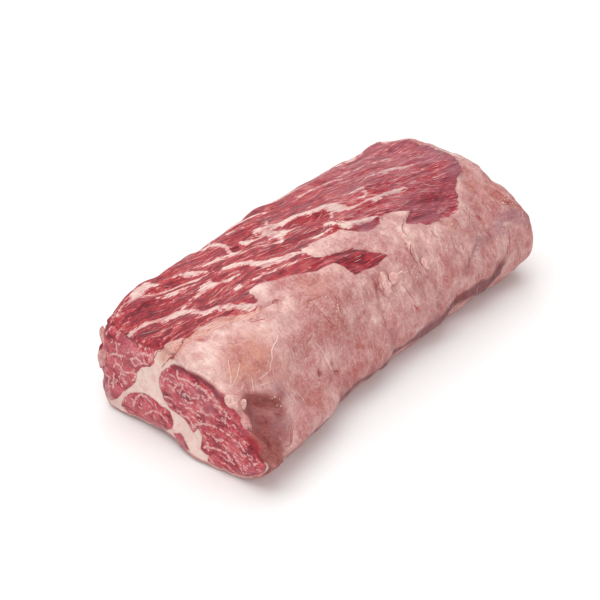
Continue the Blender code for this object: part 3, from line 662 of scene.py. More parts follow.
class RoastSizes(bpy.types.PropertyGroup):
    near_rim: length(4.0, "Near Rim", "Radius of the rim round the near cut")
    far_rim: length(12.0, "Far Rim", "Radius of the rim round the far cut")
    cap_step: length(1.6, "Cap Step", "How far the fat cap stands over the bare meat")
    swell: length(0.9, "Swell", "Height of the slow swell of the skin")
    muscle_rise: length(3.2, "Muscle Rise", "How far the muscles stand out of a cut face")
    crumb: length(2.2, "Crumb", "Width of a crumb of fat")
    crumbs: IntProperty(name="Crumbs", description="Number of crumbs of fat", default=150, min=0)


class RoastColours(bpy.types.PropertyGroup):
    meat_dark: colour("#701C2A", "Dark Meat", "Deep red of the bare meat")
    meat: colour("#A22A37", "Meat", "Middle red of the bare meat")
    meat_bright: colour("#C03539", "Bright Meat", "Fresh red where the meat is moist")
    cut_meat: colour("#B33A46", "Cut Meat", "Pinkish red of the cut faces")
    cut_pale: colour("#CE6068", "Pale Cut Meat", "Paler pink of the cut faces")
    film: colour("#9C5A68", "Film", "Purplish film over the drier meat")
    marbling_thin: colour("#CC7F80", "Thin Marbling", "Pink fat that is thin enough to see through")
    marbling: colour("#E3B4AE", "Marbling", "Fat within the meat")
    fat_white: colour("#F0D3C9", "White Fat", "The whitest, thickest fat")
    fat_pale: colour("#E8BEB4", "Pale Fat", "Cream pink of the thick fat")
    fat_middle: colour("#D39F9A", "Middle Fat", "Pink of most of the fat cap")
    fat_pink: colour("#C48785", "Pink Fat", "Deeper pink of the thinner fat")
    fat_flush: colour("#B2625B", "Flushed Fat", "Reddish patches on the fat")
    membrane: colour("#DC9C8A", "Membrane", "Orange membrane along the edge of the cap")
    peach: colour("#D08C77", "Peach", "Orange pink where the fat is thin and dry")
    # The pocket's brownish red, dark enough to stand partly for painted shade in the pocket and
    # along the bottom.
    brown: colour("#924641", "Brown", "Brownish red of the pocket by the eye")
    rust: colour("#AC5650", "Rust", "Orange red of the folds in the pocket")
    wine: colour("#86303F", "Wine", "Dried rim of the eye")
    rim_red: colour("#981A24", "Rim Red", "Moist red rim of the eye")
    # The lower edge's purplish brown, dark enough to stand partly for painted shade where the skin
    # turns under.
    edge: colour("#74383F", "Edge", "Purplish brown of the lower edge")
    mauve: colour("#94606C", "Mauve", "Grey mauve where meat shows through thin fat")
    blood: colour("#A82A28", "Blood", "Moist red spots")


def smooth(low, high, value):
    """Rise smoothly from 0 at low to 1 at high."""
    w = np.clip((value - low) / (high - low), 0.0, 1.0)
    return w * w * (3.0 - 2.0 * w)


# Random values on a lattice that repeats, for the noise. The offset keeps its places positive.
LATTICE_SIZE, LATTICE_OFFSET = 48, 300.0
LATTICE = np.random.default_rng(LATTICE_SEED).uniform(-1.0, 1.0, (LATTICE_SIZE,) * 3)


def bell(distance, reach):
    """From 1 at no distance down towards 0, as slowly as the reach says."""
    return np.exp(-((distance / reach) ** 2))


def rough(points, sizes, shift=0.0):
    """Smooth noise from about -1 to 1 at each point, that varies over the given sizes."""
    scaled = points / np.array(sizes, float) + shift + LATTICE_OFFSET
    cell = np.floor(scaled).astype(int)
    w = scaled - cell
    w = w * w * (3.0 - 2.0 * w)
    total = np.zeros(len(points))
    for corner in np.ndindex(2, 2, 2):
        share = np.prod(np.where(corner, w, 1.0 - w), axis=1)
        total += share * LATTICE[tuple(((cell + corner) % LATTICE_SIZE).T)]
    return total


def fibre_places(points):
    """The points turned so that their first part runs along the fibre of the bare meat."""
    c, s = math.cos(FIBRE_TURN), math.sin(FIBRE_TURN)
    x, y, z = points.T
    return np.column_stack([c * x + s * y, c * y - s * x, z])


def through(sizes, t):
    """The value at t of the parabola through the sizes at the near end, middle and far end."""
    near, middle, far = sizes
    return near * (1 - t) * (1 - 2 * t) + 4 * middle * t * (1 - t) + far * t * (2 * t - 1)


def girth_points(t):
    """The twelve girth points (y, z) of the section at t, the share of the length."""
    points = []
    for name, (sideways, heights) in GIRTH.items():
        y, z = through(sideways, t), through(heights, t)
        if name in WAIST_POINTS:
            y = y + WAIST_DEPTH * bell(t - WAIST_AT, WAIST_REACH)
        points.append(np.stack([y, z], axis=-1))
    return points


def section(t):
    """A smooth closed outline through the girth points, as rows of (y, z) at each t."""
    points = girth_points(t)
    rows = []
    for i, cells in enumerate(GIRTH_CELLS):
        before, here = points[i - 1], points[i]
        after, next_but_one = points[(i + 1) % len(points)], points[(i + 2) % len(points)]
        d0, d1, d2 = (
            np.linalg.norm(b - a, axis=-1, keepdims=True)
            for a, b in ((before, here), (here, after), (after, next_but_one))
        )
        chord = (after - here) / d1
        leave = (chord * d0 + (here - before) / d0 * d1) / (d0 + d1) * d1
        arrive = ((next_but_one - after) / d2 * d1 + chord * d2) / (d1 + d2) * d1
        for w in np.arange(cells) / cells:
            rows.append(
                (2 * w**3 - 3 * w**2 + 1) * here
                + (w**3 - 2 * w**2 + w) * leave
                + (3 * w**2 - 2 * w**3) * after
                + (w**3 - w**2) * arrive
            )
    outline = np.array(rows)
    outline[..., 1] = np.maximum(outline[..., 1], 0.0)
    return outline


def cut_wave(y, z, shift):
    """The unevenness that a knife leaves in a cut face."""
    y, z = np.broadcast_arrays(np.asarray(y, float), np.asarray(z, float))
    places = np.column_stack([np.full(y.size, shift), y.ravel(), z.ravel()])
    return sum(h * rough(places, (s,) * 3) for s, h in CUT_WAVES).reshape(y.shape)


def near_plane(y, z):
    """Place along the roast of the near cut face: a leaning plane with its foot out."""
    toe = NEAR_TOE * bell(y - NEAR_TOE_Y, NEAR_TOE_WIDTH)
    toe = toe * (1.0 - smooth(0.0, NEAR_TOE_TOP, z))
    flat = NEAR_X + NEAR_LEAN * (z - NEAR_MIDDLE_Z) + NEAR_SKEW * y
    return flat - toe + cut_wave(y, z, NEAR_SHIFT)


def far_dome(y, z):
    """Place along the roast of the far cut face, which is domed."""
    dome = FAR_DOME_Z * (z - FAR_MIDDLE_Z) ** 2 + FAR_DOME_Y * (y - FAR_MIDDLE_Y) ** 2
    return FAR_X - dome + cut_wave(y, z, FAR_SHIFT)


def reach_of(away, normals):
    """Length of each offset, measured along the skin when its outward directions are given."""
    reach = np.linalg.norm(away, axis=1)
    if normals is None:
        return reach
    lift = np.sum(away * normals, axis=1)
    flat = np.sqrt(np.maximum(reach**2 - lift**2, 0.0))
    return np.where(np.abs(lift) < THROUGH_MEAT, flat, reach)


def distance_to_path(points, path, normals=None):
    """Distance from each point to a path of straight runs, in any number of dimensions."""
    best = np.full(len(points), np.inf)
    for start, end in zip(path[:-1], path[1:]):
        start, end = np.array(start, float), np.array(end, float)
        run = end - start
        share = np.clip((points - start) @ run / (run @ run), 0.0, 1.0)
        best = np.minimum(best, reach_of(points - start - share[:, None] * run, normals))
    return best


def depth_inside(points, outline):
    """Distance from a closed outline, positive inside it."""
    closed = list(outline) + [outline[0]]
    inside = np.zeros(len(points), bool)
    for (y0, z0), (y1, z1) in zip(closed[:-1], closed[1:]):
        crosses = (z0 > points[:, 1]) != (z1 > points[:, 1])
        rise = z1 - z0 if z1 != z0 else 1.0
        inside ^= crosses & (points[:, 0] < (y1 - y0) * (points[:, 1] - z0) / rise + y0)
    return np.where(inside, 1.0, -1.0) * distance_to_path(points, closed)


def bare_depth(points):
    """Distance from the edge of the bare meat of the skin, positive on the meat."""
    top = depth_inside(points[:, :2], BARE_TOP)
    y, z = points[:, 1], points[:, 2]
    side = smooth(SIDE_FROM_Y, SIDE_TO_Y, y)
    low = (z - SIDE_BARE_FROM - (SIDE_BARE_TO - SIDE_BARE_FROM) * 0.5) * SIDE_DEPTH_RATE
    on_top = np.where(z > TOP_ABOVE, top, -DEPTH_LIMIT)
    return np.where(side > 0.5, np.minimum(top, low), on_top)


def streak_depth(points):
    """Distance from the edge of the nearest streak of fat, positive inside it."""
    best = np.full(len(points), NO_STREAK)
    for path in STREAKS:
        for start, end in zip(path[:-1], path[1:]):
            start, end = np.array(start, float), np.array(end, float)
            run = end[:2] - start[:2]
            away = points[:, :2] - start[:2]
            share = np.clip(away @ run / (run @ run), 0.0, 1.0)
            gap = np.linalg.norm(away - share[:, None] * run, axis=1)
            best = np.maximum(best, start[2] + (end[2] - start[2]) * share - gap)
    return np.where(points[:, 2] > STREAKS_ABOVE, best, NO_STREAK)


def stain(points, normals, spots):
    """How strongly the soft spots colour each point, from 0 to 1."""
    clear = np.ones(len(points))
    for place, radius, strength in spots:
        away = reach_of(points - np.array(place, float), normals)
        clear *= 1.0 - strength * bell(away, radius)
    return 1.0 - clear


def bands(points, normals, runs):
    """How strongly the bands colour each point, from 0 to 1: stains, and the painted shade of the
    lower edge.
    """
    clear = np.ones(len(points))
    for path, half_width, strength in runs:
        away = distance_to_path(points, path, normals)
        clear *= 1.0 - strength * bell(away, half_width)
    return 1.0 - clear


def add_lumps(height, points, lumps):
    """Add lumps to the height of each point."""
    for place, radius, rise in lumps.values():
        height += rise * bell(np.linalg.norm(points - np.array(place, float), axis=1), radius)


def sink_creases(height, points, creases, normals=None):
    """Sink creases into the height of each point."""
    for path, half_width, depth in creases.values():
        height -= depth * bell(distance_to_path(points, path, normals), half_width)


def shared_relief(points, sizes):
    """The relief that the solid has too: step, long ridges, swell, lumps and creases."""
    x, y, z = points.T
    bare = smooth(-CAP_STEP_WIDTH / 2, CAP_STEP_WIDTH / 2, bare_depth(points))
    bare = bare * np.maximum(smooth(TOP_FROM, TOP_TO, z), smooth(SIDE_FROM_Y, SIDE_TO_Y, y))
    height = -sizes.cap_step / METRES * bare
    drift = FIBRE_WANDER * np.sin(2 * np.pi * x / FIBRE_WANDER_LENGTH)
    across = y + z * np.sign(y) * RIDGE_LEAN - FIBRE_SLOPE * x + drift
    for number, (wavelength, ridge) in enumerate(FIBRE_RIDGES):
        phase = 2 * np.pi * across / wavelength + number + x / RIDGE_DRIFT
        height += bare * ridge * np.sin(phase)
    for number, (along, round_it) in enumerate(SWELL_LENGTHS):
        height += sizes.swell / METRES * np.sin(x / along * 2 * np.pi + number) * np.cos(
            (y - z) / round_it * 2 * np.pi + 2 * number
        )
    add_lumps(height, points, LUMPS)
    sink_creases(height, points, CREASES)
    return height, bare


def fine_relief(points, normals, bare):
    """The low relief of the finished skin: fibre bundles, streaks, bumps and fine creases."""
    turned = fibre_places(points)
    height = np.zeros(len(points))
    for number, (long_way, across, rise) in enumerate(FIBRE_BUNDLES):
        bundle = (long_way, across, across * BUNDLE_DEPTH)
        height += bare * rise * rough(turned, bundle, number * BUNDLE_SHIFT)
    height += bare * STREAK_RISE * smooth(*STREAK_EDGE, streak_depth(points))
    for number, (size, rise) in enumerate(FAT_BUMPS):
        shift = number * BUMP_SHIFT + BUMP_START
        height += (1 - bare) * rise * rough(points, (size,) * 3, shift)
    add_lumps(height, points, SWELLS)
    sink_creases(height, points, FINE_CREASES, normals)
    return height


def end_share(distance, radius):
    """How far a rounded rim draws the outline in, at a distance along from the cut."""
    left = np.clip(radius - distance, 0.0, radius)
    return radius - np.sqrt(radius**2 - left**2)


def length_shares(sizes):
    """Shares of the length for the rings, closer together where the rims are round."""
    span = FAR_X - NEAR_X
    even = np.linspace(0.0, 1.0, LENGTH_CELLS)
    near = np.array(NEAR_RIM_RINGS) * sizes.near_rim / METRES / span
    far = 1.0 - np.array(FAR_RIM_RINGS) * sizes.far_rim / METRES / span
    return np.unique(np.concatenate([even, near, far]))


def along_at(t, outline):
    """Place along the roast of each outline point, between its two cut faces."""
    y, z = outline[..., 0], outline[..., 1]
    return (1 - t) * near_plane(y, z) + t * far_dome(y, z)


def loft(sizes):
    """Rings of points along the roast, shaped (ring, point, xyz), with the relief on."""
    t = length_shares(sizes)
    outline = section(t)
    span = FAR_X - NEAR_X
    end_y, end_z = outline[:, 0].T
    cap = bell(end_y - CAP_RIM_Y, CAP_RIM_REACH) * smooth(*CAP_RIM_HEIGHTS, end_z)
    near_rim = sizes.near_rim / METRES * (1.0 + CAP_ROUNDING * cap)[:, None]
    draw_in = end_share(t * span, near_rim)
    draw_in = draw_in + end_share((1 - t) * span, sizes.far_rim / METRES)
    near_end = np.column_stack([np.zeros(len(outline)), outline[:, 0]])
    nibble = NIBBLE * np.abs(rough(near_end, (NIBBLE_SIZE,) * 3))
    nibble = nibble + FINE_NIBBLE * rough(near_end, (FINE_NIBBLE_SIZE,) * 3)
    draw_in = draw_in + nibble[:, None] * bell(t * span, NIBBLE_REACH)
    out = outline - np.array(FACE_MIDDLE)
    reach = np.linalg.norm(out, axis=-1, keepdims=True)
    outline = outline - out / reach * draw_in[..., None]
    rings = np.concatenate([along_at(t, outline)[..., None], outline], axis=-1)
    rings = rings.transpose(1, 0, 2)

    along = np.gradient(rings, axis=0)
    around = np.roll(rings, -1, axis=1) - np.roll(rings, 1, axis=1)
    outward = np.cross(around, along)
    outward /= np.linalg.norm(outward, axis=-1, keepdims=True)
    flat = rings.reshape(-1, 3)
    height, bare = shared_relief(flat, sizes)
    fine = fine_relief(flat, outward.reshape(-1, 3), bare)
    fade = smooth(RELIEF_FROM, RELIEF_TO, flat[:, 2])
    relief = ((height + fine) * fade).reshape(rings.shape[:2])
    moved = rings + outward * relief[..., None]
    moved[..., 2] = np.maximum(moved[..., 2], 0.0)
    return rings, outward, moved


def muscle_depth(places, muscles):
    """Distance from the edge of the nearest muscle of a cut face, positive inside one."""
    return np.max([depth_inside(places, outline) for outline in muscles.values()], axis=0)


def cut_face(rim, cell, surface, muscles, outward, sizes):
    """The points and triangles that close an end inside its rim, on an even grid."""
    low, high = rim[:, 1:].min(axis=0), rim[:, 1:].max(axis=0)
    rows = []
    for number, z in enumerate(np.arange(low[1], high[1], cell * ROW_RISE)):
        y = np.arange(low[0], high[0], cell) + (number % 2) * cell / 2
        rows.append(np.column_stack([y, np.full(len(y), z)]))
    grid = np.concatenate(rows)
    rim_outline = [tuple(p) for p in rim[:, 1:]]
    grid = grid[depth_inside(grid, rim_outline) > cell * RIM_GAP]
    places = np.concatenate([rim[:, 1:], grid])
    count = len(rim)
    rim_edges = [(i, (i + 1) % count) for i in range(count)]
    found = delaunay_2d_cdt([Vector(p) for p in places], rim_edges, [list(range(count))], 1, 1e-6)
    if len(found[0]) != len(places):
        raise RuntimeError("The cut face has more or fewer points than it was given")
    triangles = [tuple(found[3][v][0] for v in face) for face in found[2]]

    from_rim = distance_to_path(grid, rim_outline + rim_outline[:1])
    depth = muscle_depth(grid, muscles)
    rise = sizes.muscle_rise / METRES * smooth(-MUSCLE_LIP / 2, MUSCLE_LIP / 2, depth)
    spots = np.column_stack([np.full(len(grid), outward * FACE_START), grid])
    for number, (size, height) in enumerate(FACE_BUMPS):
        rise += height * rough(spots, (size,) * 3, number * FACE_SHIFT)
    rise *= smooth(0.0, FACE_CALM, from_rim)
    x = surface(grid[:, 0], grid[:, 1]) + outward * rise
    return np.column_stack([x, grid]), triangles


# The flat map: the millimetres that it spans, the margin of the sides on it, and where the
# middle of each cut face lies.
MAP_SPAN, MAP_MARGIN = 640.0, 4.0
FACE_MAP_U, FACE_MAP_V = 0.83, {"near": 0.20, "far": 0.50}


def side_map(rings):
    """Places on the flat map of the points of the sides, at true size."""
    around = np.linalg.norm(np.diff(rings, axis=1, append=rings[:, :1]), axis=-1).mean(axis=0)
    v = np.concatenate([[0.0], np.cumsum(around)])
    along = np.linalg.norm(np.diff(rings, axis=0), axis=-1).mean(axis=1)
    u = np.concatenate([[0.0], np.cumsum(along)])
    return (u + MAP_MARGIN) / MAP_SPAN, (v + MAP_MARGIN) / MAP_SPAN


def build_roast(sizes):
    """The roast as one closed mesh, in metres, with the fields that its material reads."""
    base, outward_of_sides, moved = loft(sizes)
    ring_count, count = moved.shape[:2]
    faces, corners = [], []
    u, v = side_map(base)
    for ring in range(ring_count - 1):
        first, second = ring * count, (ring + 1) * count
        for i in range(count):
            j = (i + 1) % count
            faces.append((first + i, first + j, second + j, second + i))
            corners += [(u[ring], v[i]), (u[ring], v[i + 1]),
                        (u[ring + 1], v[i + 1]), (u[ring + 1], v[i])]
    points = [moved.reshape(-1, 3)]
    bases, normals = [base.reshape(-1, 3)], [outward_of_sides.reshape(-1, 3)]
    total = ring_count * count
    for end, rim_at, surface, muscles, outward in (
        ("near", 0, near_plane, NEAR_MUSCLES, -1.0),
        ("far", ring_count - 1, far_dome, FAR_MUSCLES, 1.0),
    ):
        rim = moved[rim_at]
        inner, triangles = cut_face(rim, FACE_CELL[end], surface, muscles, outward, sizes)
        both = np.concatenate([rim, inner])
        for triangle in triangles:
            a, b, c = (both[k, 1:] for k in triangle)
            faces_in = (b[0] - a[0]) * (c[1] - a[1]) - (b[1] - a[1]) * (c[0] - a[0])
            if faces_in * outward < 0:
                triangle = triangle[::-1]
            faces.append(tuple(rim_at * count + k if k < count else total + k - count
                               for k in triangle))
            corners += [(both[k, 1] / MAP_SPAN + FACE_MAP_U,
                         both[k, 2] / MAP_SPAN + FACE_MAP_V[end]) for k in triangle]
        points.append(inner)
        bases.append(inner)
        normals.append(np.tile([outward, 0.0, 0.0], (len(inner), 1)))
        total += len(inner)

    places = np.concatenate(points)
    mesh = bpy.data.meshes.new("roast")
    mesh.from_pydata(((places - FOOTPRINT_MIDDLE) * METRES).tolist(), [], faces)
    chart = mesh.uv_layers.new(name="OFBake")
    chart.uv.foreach_set("vector", np.array(corners, np.float32).ravel())
    fields = skin_fields(
        np.concatenate(bases), np.concatenate(normals), ring_count * count, len(points[1])
    )
    for name, values in fields.items():
        carried = mesh.attributes.new(name, "FLOAT", "POINT")
        carried.data.foreach_set("value", values.astype(np.float32))
    mesh.shade_smooth()
    mesh.update()
    return mesh


def marbling(places, muscles, traced, rng):
    """How near each point of a cut face is to a vein or fleck of its fat, from 0 to 1."""
    near = np.zeros(len(places))
    for path in traced:
        near = np.maximum(near, 1.0 - distance_to_path(places, path) / VEIN_HALF)
    for name, (count, angle, varies) in FLECKS.items():
        inside = places[depth_inside(places, muscles[name]) > FLECK_INSET]
        for start in inside[rng.choice(len(inside), count, replace=False)]:
            path = [start]
            for _ in range(2):
                turn = math.radians(angle + varies * rng.normal())
                far = rng.uniform(*FLECK_LENGTHS) / 2
                path.append(path[-1] + far * np.array([math.cos(turn), math.sin(turn)]))
            half = rng.uniform(*FLECK_HALVES)
            near = np.maximum(near, 1.0 - distance_to_path(places, path) / half)
    return near


def within(distance, half_width, blur):
    """1 within a half width and 0 beyond it, over a blurred edge."""
    return 1.0 - smooth(half_width - blur, half_width + blur, distance)


def skin_fields(places, normals, side_total, near_total):
    """Values at every point for the material: distances in millimetres, stains and painted shade.
    """
    number = np.arange(len(places))
    on_side = number < side_total
    on_near = (number >= side_total) & (number < side_total + near_total)
    near_depth = muscle_depth(places[:, 1:], NEAR_MUSCLES)
    far_depth = muscle_depth(places[:, 1:], FAR_MUSCLES)
    cut_depth = np.where(on_near, near_depth, far_depth)
    x, y, z = places.T
    streak = np.where(on_side, streak_depth(places), -DEPTH_LIMIT)
    before = x - near_plane(y, z)
    rim_path = np.array([(near_plane(*place), *place) for place in EYE_RIM])
    inset = rim_path + np.array([0.0, *EYE_INSET])
    to_rim = distance_to_path(places, rim_path)
    to_inset = distance_to_path(places, inset)
    rng = np.random.default_rng(MARBLING_SEED)
    vein = np.zeros(len(places))
    for chosen, muscles, traced in (
        (on_near, NEAR_MUSCLES, VEINS), (~on_side & ~on_near, FAR_MUSCLES, ()),
    ):
        vein[chosen] = marbling(places[chosen, 1:], muscles, traced, rng)
    to_membrane = distance_to_path(places, MEMBRANE, normals)
    meat_depth = np.where(on_side, bare_depth(places), cut_depth)
    fields = {
        "meat_depth": np.clip(meat_depth, -DEPTH_LIMIT, DEPTH_LIMIT),
        "streak": np.clip(streak, *STREAK_LIMITS),
        "cut": 1.0 - on_side,
        "rim": within(to_rim, EYE_RIM_HALF, RIM_BLUR),
        "eye_edge": within(to_inset, EYE_INSET_HALF, INSET_BLUR) * (before < INSET_REACH),
        "vein": vein,
        "rim_red": smooth(RED_FROM_Y, RED_TO_Y, y),
        # The lower edge: partly its purplish brown, partly painted shade where the skin turns
        # under.
        "edge": bands(places, normals, BANDS["edge"]),
        "membrane": within(to_membrane, MEMBRANE_HALF, MEMBRANE_BLUR),
        # Darker towards the bottom: partly the fat's pinker colour, partly painted shade.
        "low": 1.0 - smooth(*LOW_TINT_AND_SHADE, z),
        "far_share": smooth(*FAR_SHARE, x),
    }
    for name, spots in STAINS.items():
        fields[name] = stain(places, normals, spots)
    mauve_bands = bands(places, normals, BANDS["mauve"])
    fields["mauve"] = 1.0 - (1.0 - fields["mauve"]) * (1.0 - mauve_bands)
    return fields


def add(tree, kind, inputs=None, **settings):
    """Add a node with its settings, and feed its inputs with values or other outputs."""
    made = tree.nodes.new(kind)
    for name, value in settings.items():
        setattr(made, name, value)
    for key, value in (inputs or {}).items():
        if isinstance(value, bpy.types.NodeSocket):
            tree.links.new(value, made.inputs[key])
        else:
            made.inputs[key].default_value = value
    return made


def pattern(tree, where, sizes, turn=(0.0, 0.0, 0.0), detail=2.0, ragged=0.5, twist=0.0, shift=0.0):
    """Cloudy pattern from 0 to 1 whose patches have the given sizes in millimetres."""
    at = add(
        tree, "ShaderNodeMapping",
        {"Vector": where, "Scale": [s * METRES for s in sizes], "Rotation": turn,
         "Location": (shift, shift * 0.7, shift * 1.3)},
        vector_type="TEXTURE",
    )
    noise = add(
        tree, "ShaderNodeTexNoise",
        {"Vector": at.outputs[0], "Scale": 1.0, "Detail": detail, "Roughness": ragged,
         "Distortion": twist},
    )
    return noise.outputs[0]


def band(tree, value, low, high):
    """From 0 to 1, smoothly, as the value goes from low to high."""
    limits = {"Value": value, "From Min": low, "From Max": high}
    return add(tree, "ShaderNodeMapRange", limits, interpolation_type="SMOOTHSTEP").outputs[0]


def sum_of(tree, *terms):
    """The sum of several (output, factor) terms."""
    total = None
    for value, factor in terms:
        total = add(
            tree, "ShaderNodeMath",
            {0: value, 1: factor, 2: 0.0 if total is None else total}, operation="MULTIPLY_ADD",
        ).outputs[0]
    return total


def times(tree, *factors):
    """The product of several outputs or numbers."""
    total = factors[0]
    for factor in factors[1:]:
        total = add(tree, "ShaderNodeMath", {0: total, 1: factor}, operation="MULTIPLY").outputs[0]
    return total


def blend(tree, share, below, above):
    """One colour laid over another by a share."""
    mixed = add(tree, "ShaderNodeMix", {0: share, 6: below, 7: above}, data_type="RGBA")
    return mixed.outputs[2]


def field(tree, name):
    """A field that the mesh carries."""
    return add(tree, "ShaderNodeAttribute", attribute_name=name).outputs["Fac"]


def veins(tree, where, sizes, width, **settings):
    """Thin wandering lines: where a cloudy pattern passes through its middle value."""
    cloud = pattern(tree, where, sizes, **settings)
    away = add(tree, "ShaderNodeMath", {0: cloud, 1: 0.5}, operation="SUBTRACT").outputs[0]
    away = add(tree, "ShaderNodeMath", {0: away}, operation="ABSOLUTE").outputs[0]
    return band(tree, away, width, width * 0.3)


def rgba(value):
    """A colour with nothing let through."""
    return (*value[:3], 1.0)


def ramp(tree, value, *stops):
    """The colour at a value between stops of (place, colour)."""
    made = add(tree, "ShaderNodeValToRGB", {0: value})
    elements = made.color_ramp.elements
    while len(elements) < len(stops):
        elements.new(0.5)
    for element, (place, tone) in zip(elements, stops):
        element.position = place
        element.color = rgba(tone)
    return made.outputs[0]


# Turns that lay a pattern along the fibre, the grain of the eye, the seam and the pocket.
ALONG_FIBRE = (0.0, 0.0, FIBRE_TURN)
ALONG_EYE = (math.radians(18.0), 0.0, 0.0)
ALONG_SEAM = (math.radians(53.0), 0.0, 0.0)
ALONG_POCKET = (0.0, math.radians(24.0), math.radians(-20.0))


def girth_places(tree):
    """Places along and round the roast, in metres, from its own flat map."""
    chart = add(tree, "ShaderNodeUVMap", uv_map="OFBake").outputs[0]
    return add(
        tree, "ShaderNodeVectorMath", {0: chart, "Scale": MAP_SPAN * METRES}, operation="SCALE"
    ).outputs[0]


def fat_colour(tree, where, colours):
    """Fat cap: cream where thick, pink where thin, with flushed, cloudy and stained patches, and
    painted shade towards the bottom, along the lower edge and in the pocket.
    """
    clouds = pattern(tree, where, (34, 34, 34), detail=4, ragged=0.6, shift=0.31)
    middling = pattern(tree, where, (10, 10, 10), detail=7, ragged=0.68, twist=0.4, shift=0.9)
    strands = pattern(tree, girth_places(tree), (2.2, 16, 5), detail=4, ragged=0.6, shift=0.2)
    stripes = pattern(tree, girth_places(tree), (13, 60, 9), detail=3, ragged=0.6, shift=0.6)
    patches = pattern(tree, where, (16, 16, 16), detail=4, ragged=0.55, twist=0.8, shift=0.42)
    speckle = pattern(tree, where, (1.5, 1.5, 2.2), detail=3, ragged=0.7, shift=0.77)
    flush = field(tree, "flush")
    far = field(tree, "far_share")
    # The low field darkens the fat towards the bottom: partly its pinker colour, partly painted
    # shade.
    tone_at = sum_of(
        tree, (clouds, 0.90), (middling, 1.05), (strands, 0.56), (field(tree, "pale"), 0.34),
        (field(tree, "low"), -0.20), (flush, -0.30), (times(tree, stripes, far), 0.9),
        (far, -0.50), (band(tree, patches, 0.46, 0.54), 0.12), (speckle, 0.56), (1.0, -1.005),
    )
    tone = ramp(
        tree, tone_at, (0.12, colours.fat_flush), (0.40, colours.fat_pink),
        (0.62, colours.fat_middle), (0.86, colours.fat_pale), (1.0, colours.fat_white),
    )
    net = veins(tree, where, (7, 7, 7), 0.06, detail=4, ragged=0.65, twist=0.8, shift=0.55)
    net_share = sum_of(tree, (flush, 0.8), (band(tree, clouds, 0.6, 0.4), 0.45))
    tone = blend(tree, times(tree, net, net_share, 0.80), tone, rgba(colours.fat_flush))
    pale_net = veins(tree, where, (9, 9, 9), 0.035, detail=5, ragged=0.65, twist=0.6, shift=0.35)
    tone = blend(tree, times(tree, pale_net, 0.18), tone, rgba(colours.fat_white))
    crumbly = pattern(tree, where, (3.4, 3.4, 3.4), detail=4, ragged=0.7, shift=0.13)
    specks = times(tree, band(tree, crumbly, 0.56, 0.68), 0.40)
    tone = blend(tree, specks, tone, rgba(colours.fat_pale))
    dry = times(tree, field(tree, "peach"), band(tree, middling, 0.34, 0.60), 0.75)
    tone = blend(tree, dry, tone, rgba(colours.peach))
    # The pocket and spots along the bottom: brownish red folds, partly painted shade.
    folds = pattern(tree, where, (8, 2.6, 2.2), turn=ALONG_POCKET, detail=6, ragged=0.78, shift=0.6)
    pocket = ramp(tree, folds, (0.37, colours.brown), (0.49, colours.rust),
                  (0.60, colours.fat_flush), (0.76, colours.fat_pink))
    stained = sum_of(tree, (field(tree, "brown"), 1.0), (middling, 0.7), (strands, 0.3))
    tone = blend(tree, times(tree, band(tree, stained, 0.62, 1.30), 0.92), tone, pocket)
    # The lower edge: a purplish brown that is partly painted shade where the skin turns under.
    edge = sum_of(tree, (field(tree, "edge"), 1.0), (middling, 0.5), (strands, 0.3))
    edge = times(tree, band(tree, edge, 0.65, 1.10), 0.85)
    tone = blend(tree, edge, tone, rgba(colours.edge))
    lines = pattern(tree, where, (16, 1.1, 1.4), turn=ALONG_FIBRE, detail=3, shift=0.7)
    orange = ramp(tree, lines, (0.33, colours.fat_flush), (0.45, colours.membrane),
                  (0.60, colours.fat_pale))
    return blend(tree, times(tree, field(tree, "membrane"), 0.85), tone, orange)


def meat_colour(tree, where, colours):
    """Bare meat: dark to bright red bundles along the fibre, streaked and edged with fat."""
    bundles = pattern(tree, where, (26, 5, 7), turn=ALONG_FIBRE, detail=7, ragged=0.66, twist=0.3)
    fibres = pattern(tree, where, (9, 0.9, 1.3), turn=ALONG_FIBRE, detail=2, shift=0.4)
    far = field(tree, "far_share")
    less_far = sum_of(tree, (far, -0.6), (1.0, 1.0))
    fatness = pattern(
        tree, where, (20, 3.6, 5), turn=ALONG_FIBRE, detail=6, ragged=0.68, twist=0.6, shift=0.7
    )
    small = pattern(
        tree, where, (7, 1.5, 2), turn=ALONG_FIBRE, detail=4, ragged=0.65, twist=0.5, shift=0.33
    )
    fatness = times(tree, band(tree, fatness, 0.52, 0.60), less_far)
    small = times(tree, band(tree, small, 0.57, 0.65), less_far)
    rag = pattern(tree, where, (10, 3.2, 4), turn=ALONG_FIBRE, detail=6, ragged=0.72, shift=0.15)
    streak = sum_of(tree, (field(tree, "streak"), 1.0), (rag, 14.0))
    streak = band(tree, streak, 5.8, 8.2)
    tone_at = sum_of(
        tree, (bundles, 1.30), (fibres, 0.72), (fatness, 0.26), (small, 0.25), (streak, 0.52),
        (field(tree, "deep"), -0.14), (times(tree, fibres, far), 0.9), (far, -0.36), (1.0, -0.65),
    )
    tone = ramp(
        tree, tone_at, (0.20, colours.meat_dark), (0.37, colours.meat),
        (0.54, colours.meat_bright), (0.69, colours.marbling_thin), (0.83, colours.marbling),
        (1.0, colours.fat_white),
    )
    dry = pattern(tree, where, (30, 11, 14), turn=ALONG_FIBRE, detail=5, ragged=0.62, shift=0.21)
    film = sum_of(tree, (dry, 1.0), (far, 0.28), (fibres, 0.35), (field(tree, "mauve"), 0.3))
    film = times(tree, band(tree, film, 0.74, 1.06), 0.48)
    return blend(tree, film, tone, rgba(colours.film))


